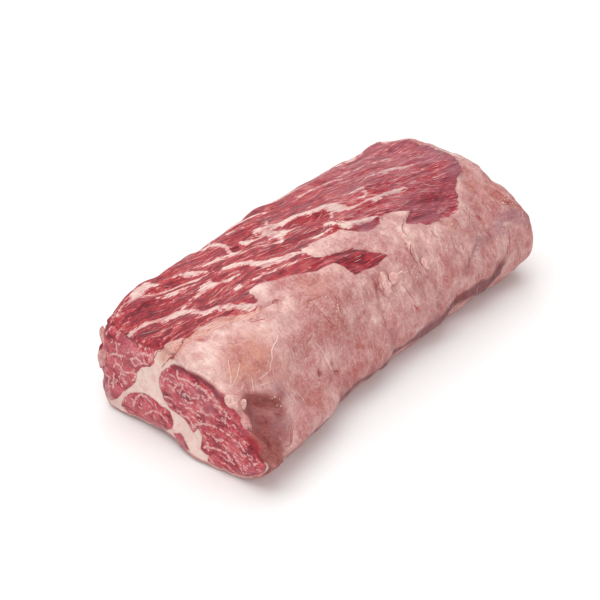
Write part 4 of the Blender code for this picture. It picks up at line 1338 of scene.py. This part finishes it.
def cut_colour(tree, where, colours):
    """Cut meat: pinkish red with fine flecks of fat that run with the grain."""
    patches = pattern(tree, where, (12, 14, 9), turn=ALONG_EYE, detail=6, ragged=0.65, shift=0.5)
    grain = pattern(tree, where, (2.0, 3.0, 1.1), turn=ALONG_EYE, detail=3, shift=0.8)
    worms = veins(
        tree, where, (5, 8, 3.0), 0.030, turn=ALONG_EYE, detail=2, ragged=0.5, twist=0.6,
        shift=0.27,
    )
    where_worms = pattern(tree, where, (6, 9, 5), turn=ALONG_EYE, detail=1, shift=0.45)
    worms = times(tree, worms, band(tree, where_worms, 0.47, 0.55))
    tone_at = sum_of(tree, (patches, 1.5), (grain, 0.66), (worms, 0.30), (1.0, -0.67))
    tone = ramp(
        tree, tone_at, (0.16, colours.meat_dark), (0.38, colours.cut_meat),
        (0.56, colours.cut_pale), (0.76, colours.marbling_thin), (0.90, colours.marbling),
    )
    dry = pattern(tree, where, (9, 12, 8), turn=ALONG_EYE, detail=4, ragged=0.6, shift=0.9)
    tone = blend(tree, times(tree, band(tree, dry, 0.50, 0.66), 0.45), tone, rgba(colours.film))
    rag = pattern(tree, where, (1.7, 2.1, 1.6), turn=ALONG_EYE, detail=3, ragged=0.7, shift=0.6)
    share = band(tree, sum_of(tree, (field(tree, "vein"), 1.0), (rag, 1.7)), 1.14, 1.44)
    fat = ramp(tree, rag, (0.42, colours.marbling_thin), (0.54, colours.marbling),
               (0.66, colours.fat_pale))
    tone = blend(tree, times(tree, share, 0.84), tone, fat)
    rim = blend(tree, field(tree, "rim_red"), rgba(colours.wine), rgba(colours.rim_red))
    return blend(tree, times(tree, field(tree, "rim"), 0.92), tone, rim)


def start_material(name):
    """A new material, with its node tree and its shader."""
    material = bpy.data.materials.new(name)
    material.use_nodes = True
    return material, material.node_tree, material.node_tree.nodes["Principled BSDF"]


def set_sockets(shader, values):
    """Set a shader's own sockets to values that are the same all over."""
    for name, value in values.items():
        shader.inputs[name].default_value = value


def beef_material(colours):
    """Raw beef, cut and trimmed by knife: moist red meat and smooth, waxy pink fat.

    The eye sees a soft wet shine broken by the fibre, light that sinks a little into the
    fat, and edges between fat and meat that are ragged but sharp.
    """
    material, tree, shader = start_material("raw_beef_moist")
    where = add(tree, "ShaderNodeTexCoord").outputs["Object"]
    cut = field(tree, "cut")

    coarse_rag = pattern(tree, where, (14, 4, 5), turn=ALONG_FIBRE, detail=4, ragged=0.65)
    fine_rag = pattern(tree, where, (4, 1.3, 1.6), turn=ALONG_FIBRE, detail=3, shift=0.5)
    raggedness = add(tree, "ShaderNodeMix", {0: cut, 2: 8.0, 3: 3.0}).outputs[0]
    edge = sum_of(tree, (coarse_rag, 0.75), (fine_rag, 0.25), (1.0, -0.5))
    edge = sum_of(tree, (field(tree, "meat_depth"), 1.0), (edge, raggedness))
    meat_share = band(tree, edge, -0.5, 0.6)

    cut_meat = cut_colour(tree, where, colours)
    meat = blend(tree, cut, meat_colour(tree, where, colours), cut_meat)
    lines = pattern(tree, where, (8, 15, 1.5), turn=ALONG_SEAM, detail=4, ragged=0.65, shift=0.3)
    seam = ramp(
        tree, sum_of(tree, (coarse_rag, 0.55), (lines, 0.45)), (0.22, colours.fat_pink),
        (0.32, colours.fat_middle), (0.40, colours.fat_pale), (0.50, colours.fat_white),
    )
    seam = blend(tree, times(tree, field(tree, "peach"), 0.8), seam, rgba(colours.peach))
    fat = blend(tree, cut, fat_colour(tree, where, colours), seam)
    for name in ("rim", "eye_edge"):
        share = field(tree, name)
        meat = blend(tree, share, meat, cut_meat)
        meat_share = add(
            tree, "ShaderNodeMath", {0: meat_share, 1: share}, operation="MAXIMUM"
        ).outputs[0]
    tone = blend(tree, meat_share, fat, meat)
    mauve = times(tree, field(tree, "mauve"), band(tree, coarse_rag, 0.30, 0.60), 0.75)
    tone = blend(tree, mauve, tone, rgba(colours.mauve))
    tone = blend(tree, times(tree, field(tree, "blood"), 0.8), tone, rgba(colours.blood))
    tree.links.new(tone, shader.inputs["Base Color"])

    wet = pattern(tree, where, (7, 3.5, 4), detail=4, shift=0.2)
    roughness = sum_of(tree, (wet, 0.45), (meat_share, -0.07), (1.0, 0.28))
    tree.links.new(roughness, shader.inputs["Roughness"])

    fibre = pattern(tree, where, (14, 1.2, 1.7), turn=ALONG_FIBRE, detail=3, ragged=0.6)
    lumps = pattern(tree, where, (12, 3.6, 4.5), turn=ALONG_FIBRE, detail=3, shift=0.44)
    grain = pattern(tree, where, (1.8, 2.6, 1.2), turn=ALONG_EYE, detail=3, shift=0.64)
    skin = pattern(tree, where, (4, 4, 4), detail=6, ragged=0.62, shift=0.3)
    strands = pattern(tree, girth_places(tree), (1.8, 11, 4), detail=3, shift=0.5)
    on_skin = sum_of(tree, (fibre, 1.5), (lumps, 1.8))
    meat_bumps = add(tree, "ShaderNodeMix", {0: cut, 2: on_skin, 3: grain}).outputs[0]
    folds = pattern(tree, where, (8, 2.6, 2.2), turn=ALONG_POCKET, detail=5, ragged=0.7, shift=0.6)
    in_pocket = times(tree, folds, field(tree, "brown"))
    fat_bumps = sum_of(tree, (skin, 2.0), (strands, 0.6), (in_pocket, 5.0))
    heights = add(tree, "ShaderNodeMix", {0: meat_share, 2: fat_bumps, 3: meat_bumps}).outputs[0]
    bump = add(tree, "ShaderNodeBump", {"Height": heights, "Distance": 0.001, "Strength": 1.0})
    tree.links.new(bump.outputs[0], shader.inputs["Normal"])

    set_sockets(shader, {
        "IOR": 1.42, "Specular IOR Level": 0.4, "Coat Weight": 0.16, "Coat Roughness": 0.18,
        "Subsurface Weight": 0.08, "Subsurface Radius": (1.0, 0.35, 0.25),
        "Subsurface Scale": 0.003,
    })
    return material


# What lies loose on the skin: three colours and the roughness of each finish.
# Waxy fat: tags and crumbs, pale pink, flushed red where they join the roast.
# White sinew: threads and fine fibres, the whitest fat, only faintly pink.
# Wet juice: gathers in nicks and folds, deep red and shiny.
# Fold red and shade: dark lines in the folds, rust to wine, and duller than fresh juice; partly the
# folds' own reddish colour, partly painted shade in the creases.
# Stained fat: tags that meat juice has stained, pink with red spots.
LOOSE_FINISHES = {
    "beef_fat_waxy": ("fat_pale", "fat_middle", "fat_flush", 0.40),
    "sinew_white": ("fat_white", "fat_pale", "fat_middle", 0.40),
    "meat_juice_wet": ("blood", "fat_flush", "brown", 0.22),
    "fold_red_and_shade": ("rust", "brown", "wine", 0.40),
    "beef_fat_stained": ("fat_middle", "fat_pink", "blood", 0.40),
}


def loose_finish(name, colours):
    """A loose finish, made the first time it is asked for: two tones worked into each other,
    with spots of a third and a wet shine."""
    made = bpy.data.materials.get(name)
    if made:
        return made
    *tones, roughness = LOOSE_FINISHES[name]
    pale, pink, flushed = (rgba(getattr(colours, tone)) for tone in tones)
    material, tree, shader = start_material(name)
    where = add(tree, "ShaderNodeTexCoord").outputs["Object"]
    patches = pattern(tree, where, (5, 5, 5), detail=5, ragged=0.65, shift=0.4)
    tone = blend(tree, band(tree, patches, 0.40, 0.60), pale, pink)
    spots = pattern(tree, where, (2.4, 2.4, 2.4), detail=3, shift=0.7)
    tone = blend(tree, times(tree, band(tree, spots, 0.54, 0.68), 0.5), tone, flushed)
    tree.links.new(tone, shader.inputs["Base Color"])
    grain = pattern(tree, where, (1.6, 1.6, 1.6), detail=4, shift=0.9)
    bump = add(tree, "ShaderNodeBump", {"Height": grain, "Distance": 0.0006, "Strength": 0.8})
    tree.links.new(bump.outputs[0], shader.inputs["Normal"])
    set_sockets(shader, {
        "Roughness": roughness, "IOR": 1.44, "Subsurface Weight": 0.10,
        "Subsurface Radius": (1.0, 0.45, 0.35), "Subsurface Scale": 0.003,
    })
    return material


def put_in_place(made):
    """Finish a piece: link it, and let it ride on the roast's body."""
    if made.name not in bpy.context.scene.collection.objects:
        bpy.context.scene.collection.objects.link(made)
    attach(made, BODY)


def roast_surface():
    """A tree for finding places on the finished roast."""
    roast = bpy.data.objects["roast"]
    places = [vertex.co for vertex in roast.data.vertices]
    return BVHTree.FromPolygons(places, [tuple(face.vertices) for face in roast.data.polygons])


def on_surface(tree, place, lift):
    """The point of the roast nearest a place, in metres, raised by a lift."""
    shifted = Vector(place) - Vector(FOOTPRINT_MIDDLE)
    spot, normal, _, _ = tree.find_nearest(shifted * METRES)
    return spot + normal * lift * METRES


class ROAST_OT_body(bpy.types.Operator):
    """Build the roast itself, as one closed mesh with its fields and its material"""

    bl_idname = "roast.body"
    bl_label = "Roast"

    def execute(self, context):
        mesh = build_roast(context.scene.roast_sizes)
        roast = bpy.data.objects.new("roast", mesh)
        mesh.materials.append(beef_material(context.scene.roast_colours))
        put_in_place(roast)
        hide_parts(NODE)
        return {"FINISHED"}


def new_tree(name, *numbers):
    """A geometry node tree with its geometry sockets and named numbers as inputs."""
    tree = bpy.data.node_groups.new(name, "GeometryNodeTree")
    tree.interface.new_socket("Geometry", in_out="INPUT", socket_type="NodeSocketGeometry")
    for title, kind, default in numbers:
        socket = tree.interface.new_socket(title, in_out="INPUT", socket_type=kind)
        socket.default_value = default
    tree.interface.new_socket("Geometry", in_out="OUTPUT", socket_type="NodeSocketGeometry")
    return tree


def close_tree(tree, geometry, material):
    """End a tree in real, single geometry with its material."""
    single = add(tree, "GeometryNodeRealizeInstances", {"Geometry": geometry})
    finished = add(
        tree, "GeometryNodeSetMaterial", {"Geometry": single.outputs[0], "Material": material}
    )
    add(tree, "NodeGroupOutput", {"Geometry": finished.outputs[0]})


def carried_width(tree, factor):
    """The width that each point carries, times a factor."""
    width = add(tree, "GeometryNodeInputNamedAttribute", {"Name": "width"}, data_type="FLOAT")
    return times(tree, width.outputs["Attribute"], factor)


def thread_tree(material):
    """Geometry nodes that turn runs of edges into thin threads, as wide as each point says."""
    tree = new_tree(
        "thread_of_" + material.name, ("Thickness", "NodeSocketFloat", 1.0),
        ("Step", "NodeSocketFloat", 0.001),
    )
    source = add(tree, "NodeGroupInput").outputs
    curve = add(tree, "GeometryNodeMeshToCurve", {"Mesh": source["Geometry"]})
    bent = add(
        tree, "GeometryNodeCurveSplineType", {"Curve": curve.outputs[0]},
        spline_type="CATMULL_ROM",
    )
    spaced = add(
        tree, "GeometryNodeResampleCurve",
        {"Curve": bent.outputs[0], "Length": source["Step"]}, mode="LENGTH",
    )
    ring = add(
        tree, "GeometryNodeCurvePrimitiveCircle", {"Resolution": THREAD_SIDES, "Radius": 1.0}
    )
    tube = add(
        tree, "GeometryNodeCurveToMesh",
        {"Curve": spaced.outputs[0], "Profile Curve": ring.outputs[0], "Fill Caps": True,
         "Scale": carried_width(tree, source["Thickness"])},
    )
    close_tree(tree, tube.outputs[0], material)
    return tree


def crumb_tree(material):
    """Geometry nodes that put an uneven crumb on every point, as wide as the point says."""
    tree = new_tree(
        "crumbs", ("Crumb", "NodeSocketFloat", 1.0), ("Seed", "NodeSocketInt", CRUMB_TURN_SEED),
    )
    source = add(tree, "NodeGroupInput").outputs
    ball = add(tree, "GeometryNodeMeshIcoSphere", {"Radius": 1.0, "Subdivisions": 2})
    turn, shape = (
        add(
            tree, "FunctionNodeRandomValue", {"Min": low, "Max": high, "Seed": source["Seed"]},
            data_type="FLOAT_VECTOR",
        ).outputs[0]
        for low, high in (CRUMB_TURNS, CRUMB_SHAPES)
    )
    size = add(
        tree, "ShaderNodeVectorMath",
        {0: shape, "Scale": carried_width(tree, source["Crumb"])}, operation="SCALE",
    ).outputs[0]
    placed = add(
        tree, "GeometryNodeInstanceOnPoints",
        {"Points": source["Geometry"], "Instance": ball.outputs[0], "Rotation": turn,
         "Scale": size},
    )
    close_tree(tree, placed.outputs[0], material)
    return tree


def run_nodes(name, mesh, tree, inputs):
    """Run a node tree on a mesh and return the result as a plain mesh object."""
    carrier = bpy.data.objects.new(name, mesh)
    bpy.context.scene.collection.objects.link(carrier)
    modifier = carrier.modifiers.new(name, "NODES")
    modifier.node_group = tree
    for item in tree.interface.items_tree:
        if item.in_out == "INPUT" and item.name in inputs:
            modifier[item.identifier] = inputs[item.name]
    depsgraph = bpy.context.evaluated_depsgraph_get()
    result = bpy.data.meshes.new_from_object(carrier.evaluated_get(depsgraph))
    carrier.modifiers.remove(modifier)
    carrier.data = result
    result.name = name
    return carrier


def softened(path):
    """A path with its corners cut twice, so that it bends smoothly."""
    points = np.array(path, float)
    for _ in range(2):
        start, end = points[:-1], points[1:]
        cut = np.stack([0.75 * start + 0.25 * end, 0.25 * start + 0.75 * end], axis=1)
        points = np.concatenate([points[:1], cut.reshape(-1, 3), points[-1:]])
    return points


def laid_mesh(name, surface, runs):
    """Edges that lie on the roast along runs, each a radius and its places, with widths."""
    spots, edges, widths = [], [], []
    for radius, path in runs:
        last = len(path) - 1
        for number, place in enumerate(path):
            if number:
                edges.append((len(spots) - 1, len(spots)))
            spots.append(on_surface(surface, place, -SUNK * radius))
            from_middle = abs(2.0 * number / last - 1.0)
            widths.append(radius * METRES * max(THREAD_TIP, 1.0 - from_middle**3))
    return spotted_mesh(name, spots, edges, widths)


def spotted_mesh(name, spots, edges, widths):
    """A mesh of points and edges, with a width at each point."""
    mesh = bpy.data.meshes.new(name)
    mesh.from_pydata(spots, edges, [])
    width = mesh.attributes.new("width", "FLOAT", "POINT")
    width.data.foreach_set("value", widths)
    return mesh


def wander(surface, rng, start, heading, far, sway):
    """Places along a swaying line over the skin, a step apart."""
    path, heading = [np.array(start, float)], np.array(heading, float)
    for _ in range(max(2, round(far / STEP))):
        heading = heading + sway * rng.normal(size=3)
        heading /= np.linalg.norm(heading)
        goal = Vector(path[-1] + heading * STEP) * METRES
        spot, normal, _, _ = surface.find_nearest(goal)
        heading = heading - np.array(normal) * (heading @ np.array(normal))
        path.append(np.array(spot) / METRES)
    return [place + FOOTPRINT_MIDDLE for place in path]


def roast_fields(*names):
    """Places of the finished roast's points, and its named fields."""
    mesh = bpy.data.objects["roast"].data
    places = np.empty(len(mesh.vertices) * 3, np.float32)
    mesh.vertices.foreach_get("co", places)
    found = [places.reshape(-1, 3).astype(float) / METRES]
    for name in names:
        values = np.empty(len(mesh.vertices), np.float32)
        mesh.attributes[name].data.foreach_get("value", values)
        found.append(values)
    return found


def lay_threads(name, runs, material):
    """One piece of threads that lie on the roast along runs."""
    mesh = laid_mesh(name, roast_surface(), runs)
    piece = run_nodes(name, mesh, thread_tree(material), {"Thickness": 1.0})
    piece.data.shade_smooth()
    put_in_place(piece)


class ROAST_OT_threads(bpy.types.Operator):
    """Lay the threads of sinew, the lines of wet juice, and the dark lines in the folds, which are
    partly painted shade, on the fat
    """

    bl_idname = "roast.threads"
    bl_label = "Sinew And Juice Lines"

    def execute(self, context):
        for name, runs, finish in (
            ("sinew_threads", SINEW, "sinew_white"),
            ("red_lines", RED_LINES, "meat_juice_wet"),
            ("fold_lines", FOLD_LINES, "fold_red_and_shade"),
        ):
            material = loose_finish(finish, context.scene.roast_colours)
            lay_threads(name, [(radius, softened(path)) for radius, path in runs], material)
        return {"FINISHED"}


class ROAST_OT_fibres(bpy.types.Operator):
    """Lay the fine pale fibres over the bare meat and the fat"""

    bl_idname = "roast.fibres"
    bl_label = "Fine Fibres"

    def execute(self, context):
        rng = np.random.default_rng(FIBRE_SEED)
        surface = roast_surface()
        places, cut, meat_depth = roast_fields("cut", "meat_depth")
        on_side = (places[:, 2] > FIBRES_ABOVE) & (cut < 0.5)
        chosen = {"meat_fibres": meat_depth > ON_MEAT, "fat_fibres": meat_depth < ON_FAT}
        material = loose_finish("sinew_white", context.scene.roast_colours)
        for name, (count, lengths, radii, heading, sway) in FINE_FIBRES.items():
            found = np.flatnonzero(chosen[name] & on_side)
            runs = []
            for start in places[rng.choice(found, count, replace=False)]:
                path = wander(surface, rng, start, heading, rng.uniform(*lengths), sway)
                runs.append((rng.uniform(*radii), path))
            lay_threads(name, runs, material)
        return {"FINISHED"}


class ROAST_OT_crumbs(bpy.types.Operator):
    """Scatter the crumbs of fat over the crumbly places"""

    bl_idname = "roast.crumbs"
    bl_label = "Crumbs"

    def execute(self, context):
        sizes = context.scene.roast_sizes
        rng = np.random.default_rng(CRUMB_SEED)
        surface = roast_surface()
        total = sum(share for _, _, share in CRUMBLY)
        spots, widths = [], []
        for middle, spread, share in CRUMBLY:
            for _ in range(round(sizes.crumbs * share / total)):
                away = spread * rng.normal(size=3) * CRUMB_SCATTER
                width = sizes.crumb * rng.uniform(*CRUMB_WIDTHS)
                place = np.array(middle, float) + away
                spots.append(on_surface(surface, place, CRUMB_LIFT * width / METRES))
                widths.append(width)
        mesh = spotted_mesh("crumbs", spots, [], widths)
        material = loose_finish("beef_fat_waxy", context.scene.roast_colours)
        crumbs = run_nodes("crumbs", mesh, crumb_tree(material), {"Seed": CRUMB_TURN_SEED})
        crumbs.data.shade_smooth()
        put_in_place(crumbs)
        return {"FINISHED"}


class ROAST_OT_knobs(bpy.types.Operator):
    """Model the loose knobs and tags of fat"""

    bl_idname = "roast.knobs"
    bl_label = "Fat Knobs"

    def execute(self, context):
        waxy, reddened = (
            loose_finish(name, context.scene.roast_colours)
            for name in ("beef_fat_waxy", "beef_fat_stained")
        )
        for number, (name, (place, size, turn, taper, stained)) in enumerate(KNOBS.items()):
            bpy.ops.mesh.primitive_ico_sphere_add(subdivisions=5, radius=1.0)
            knob = context.object
            knob.name = knob.data.name = name
            count = len(knob.data.vertices)
            ball = np.empty(count * 3)
            knob.data.vertices.foreach_get("co", ball)
            ball = ball.reshape(-1, 3)
            swollen = np.ones(count)
            for height, bump, shift in KNOB_BUMPS:
                swollen += height * rough(ball, (bump,) * 3, number * shift)
            shaped = ball * swollen[:, None] * np.array(size)
            shaped[:, :2] *= 1.0 + taper * ball[:, 2:]
            c, s = math.cos(math.radians(turn)), math.sin(math.radians(turn))
            y, z = shaped[:, 1].copy(), shaped[:, 2].copy()
            shaped[:, 1], shaped[:, 2] = c * y - s * z, s * y + c * z
            shaped += np.array(place) - FOOTPRINT_MIDDLE
            knob.data.vertices.foreach_set("co", (shaped * METRES).ravel())
            knob.data.materials.append(reddened if stained else waxy)
            knob.data.shade_smooth()
            put_in_place(knob)
        return {"FINISHED"}


class ROAST_OT_stage(bpy.types.Operator):
    """Set the pale floor, the soft studio lights and the camera"""

    bl_idname = "roast.stage"
    bl_label = "Stage"

    def execute(self, context):
        bpy.ops.mesh.primitive_plane_add(size=FLOOR_SIZE, location=(0.0, 0.0, -FLOOR_DROP))
        floor = context.object
        floor.name = "floor"
        # Matt white paper: even, and with hardly any shine.
        paper, _, shader = start_material("white_paper_matt")
        set_sockets(shader, {
            "Base Color": rgba(linear(PAPER)), "Roughness": 0.9, "Specular IOR Level": 0.1,
        })
        floor.data.materials.append(paper)

        world = context.scene.world or bpy.data.worlds.new("studio")
        context.scene.world = world
        world.use_nodes = True
        white = (1.0, 1.0, 1.0, 1.0)
        set_sockets(world.node_tree.nodes["Background"], {"Color": white, "Strength": ROOM_LIGHT})
        context.scene.view_settings.view_transform = "Standard"
        for name, (place, width, power) in LIGHTS.items():
            light = bpy.data.lights.new(name, "AREA")
            light.shape = "SQUARE"
            light.size = width
            light.energy = power
            lamp = bpy.data.objects.new(name, light)
            lamp.location = place
            lamp.rotation_euler = (-Vector(place)).to_track_quat("-Z", "Y").to_euler()
            context.scene.collection.objects.link(lamp)

        back = Vector((
            math.sin(CAMERA_TURN) * math.cos(CAMERA_RISE),
            -math.cos(CAMERA_TURN) * math.cos(CAMERA_RISE),
            math.sin(CAMERA_RISE),
        ))
        aim = Vector(CAMERA_AIM) - Vector(FOOTPRINT_MIDDLE)
        lens = bpy.data.cameras.new("camera")
        lens.lens = CAMERA_LENS
        lens.sensor_width = CAMERA_FILM
        camera = bpy.data.objects.new("camera", lens)
        camera.location = (aim + back * CAMERA_DISTANCE) * METRES
        camera.rotation_euler = back.to_track_quat("Z", "Y").to_euler()
        context.scene.collection.objects.link(camera)
        context.scene.camera = camera
        return {"FINISHED"}


class ROAST_PT_panel(bpy.types.Panel):
    """Sizes, colours and the steps that build the roast"""

    bl_idname = "ROAST_PT_panel"
    bl_label = "Raw Rib Roast"
    bl_space_type = "VIEW_3D"
    bl_region_type = "UI"
    bl_category = "Roast"

    def draw(self, context):
        for group in (context.scene.roast_sizes, context.scene.roast_colours):
            column = self.layout.column()
            for name in type(group).__annotations__:
                column.prop(group, name)
        for step in STEPS:
            self.layout.operator(step.bl_idname)


STEPS = (ROAST_OT_body, ROAST_OT_threads, ROAST_OT_fibres, ROAST_OT_crumbs,
         ROAST_OT_knobs, ROAST_OT_stage)
CLASSES = (RoastSizes, RoastColours, *STEPS, ROAST_PT_panel)


def register():
    """Register the classes, and keep the sizes and colours on the scene."""
    for kind in CLASSES:
        bpy.utils.register_class(kind)
    bpy.types.Scene.roast_sizes = PointerProperty(type=RoastSizes)
    bpy.types.Scene.roast_colours = PointerProperty(type=RoastColours)


def unregister():
    """Take back what register did."""
    del bpy.types.Scene.roast_colours
    del bpy.types.Scene.roast_sizes
    for kind in reversed(CLASSES):
        bpy.utils.unregister_class(kind)


def main():
    """Build the roast and its stage."""
    register()
    bpy.ops.roast.body()
    bpy.ops.roast.threads()
    bpy.ops.roast.fibres()
    bpy.ops.roast.crumbs()
    bpy.ops.roast.knobs()
    bpy.ops.roast.stage()


if __name__ == "__main__":
    main()
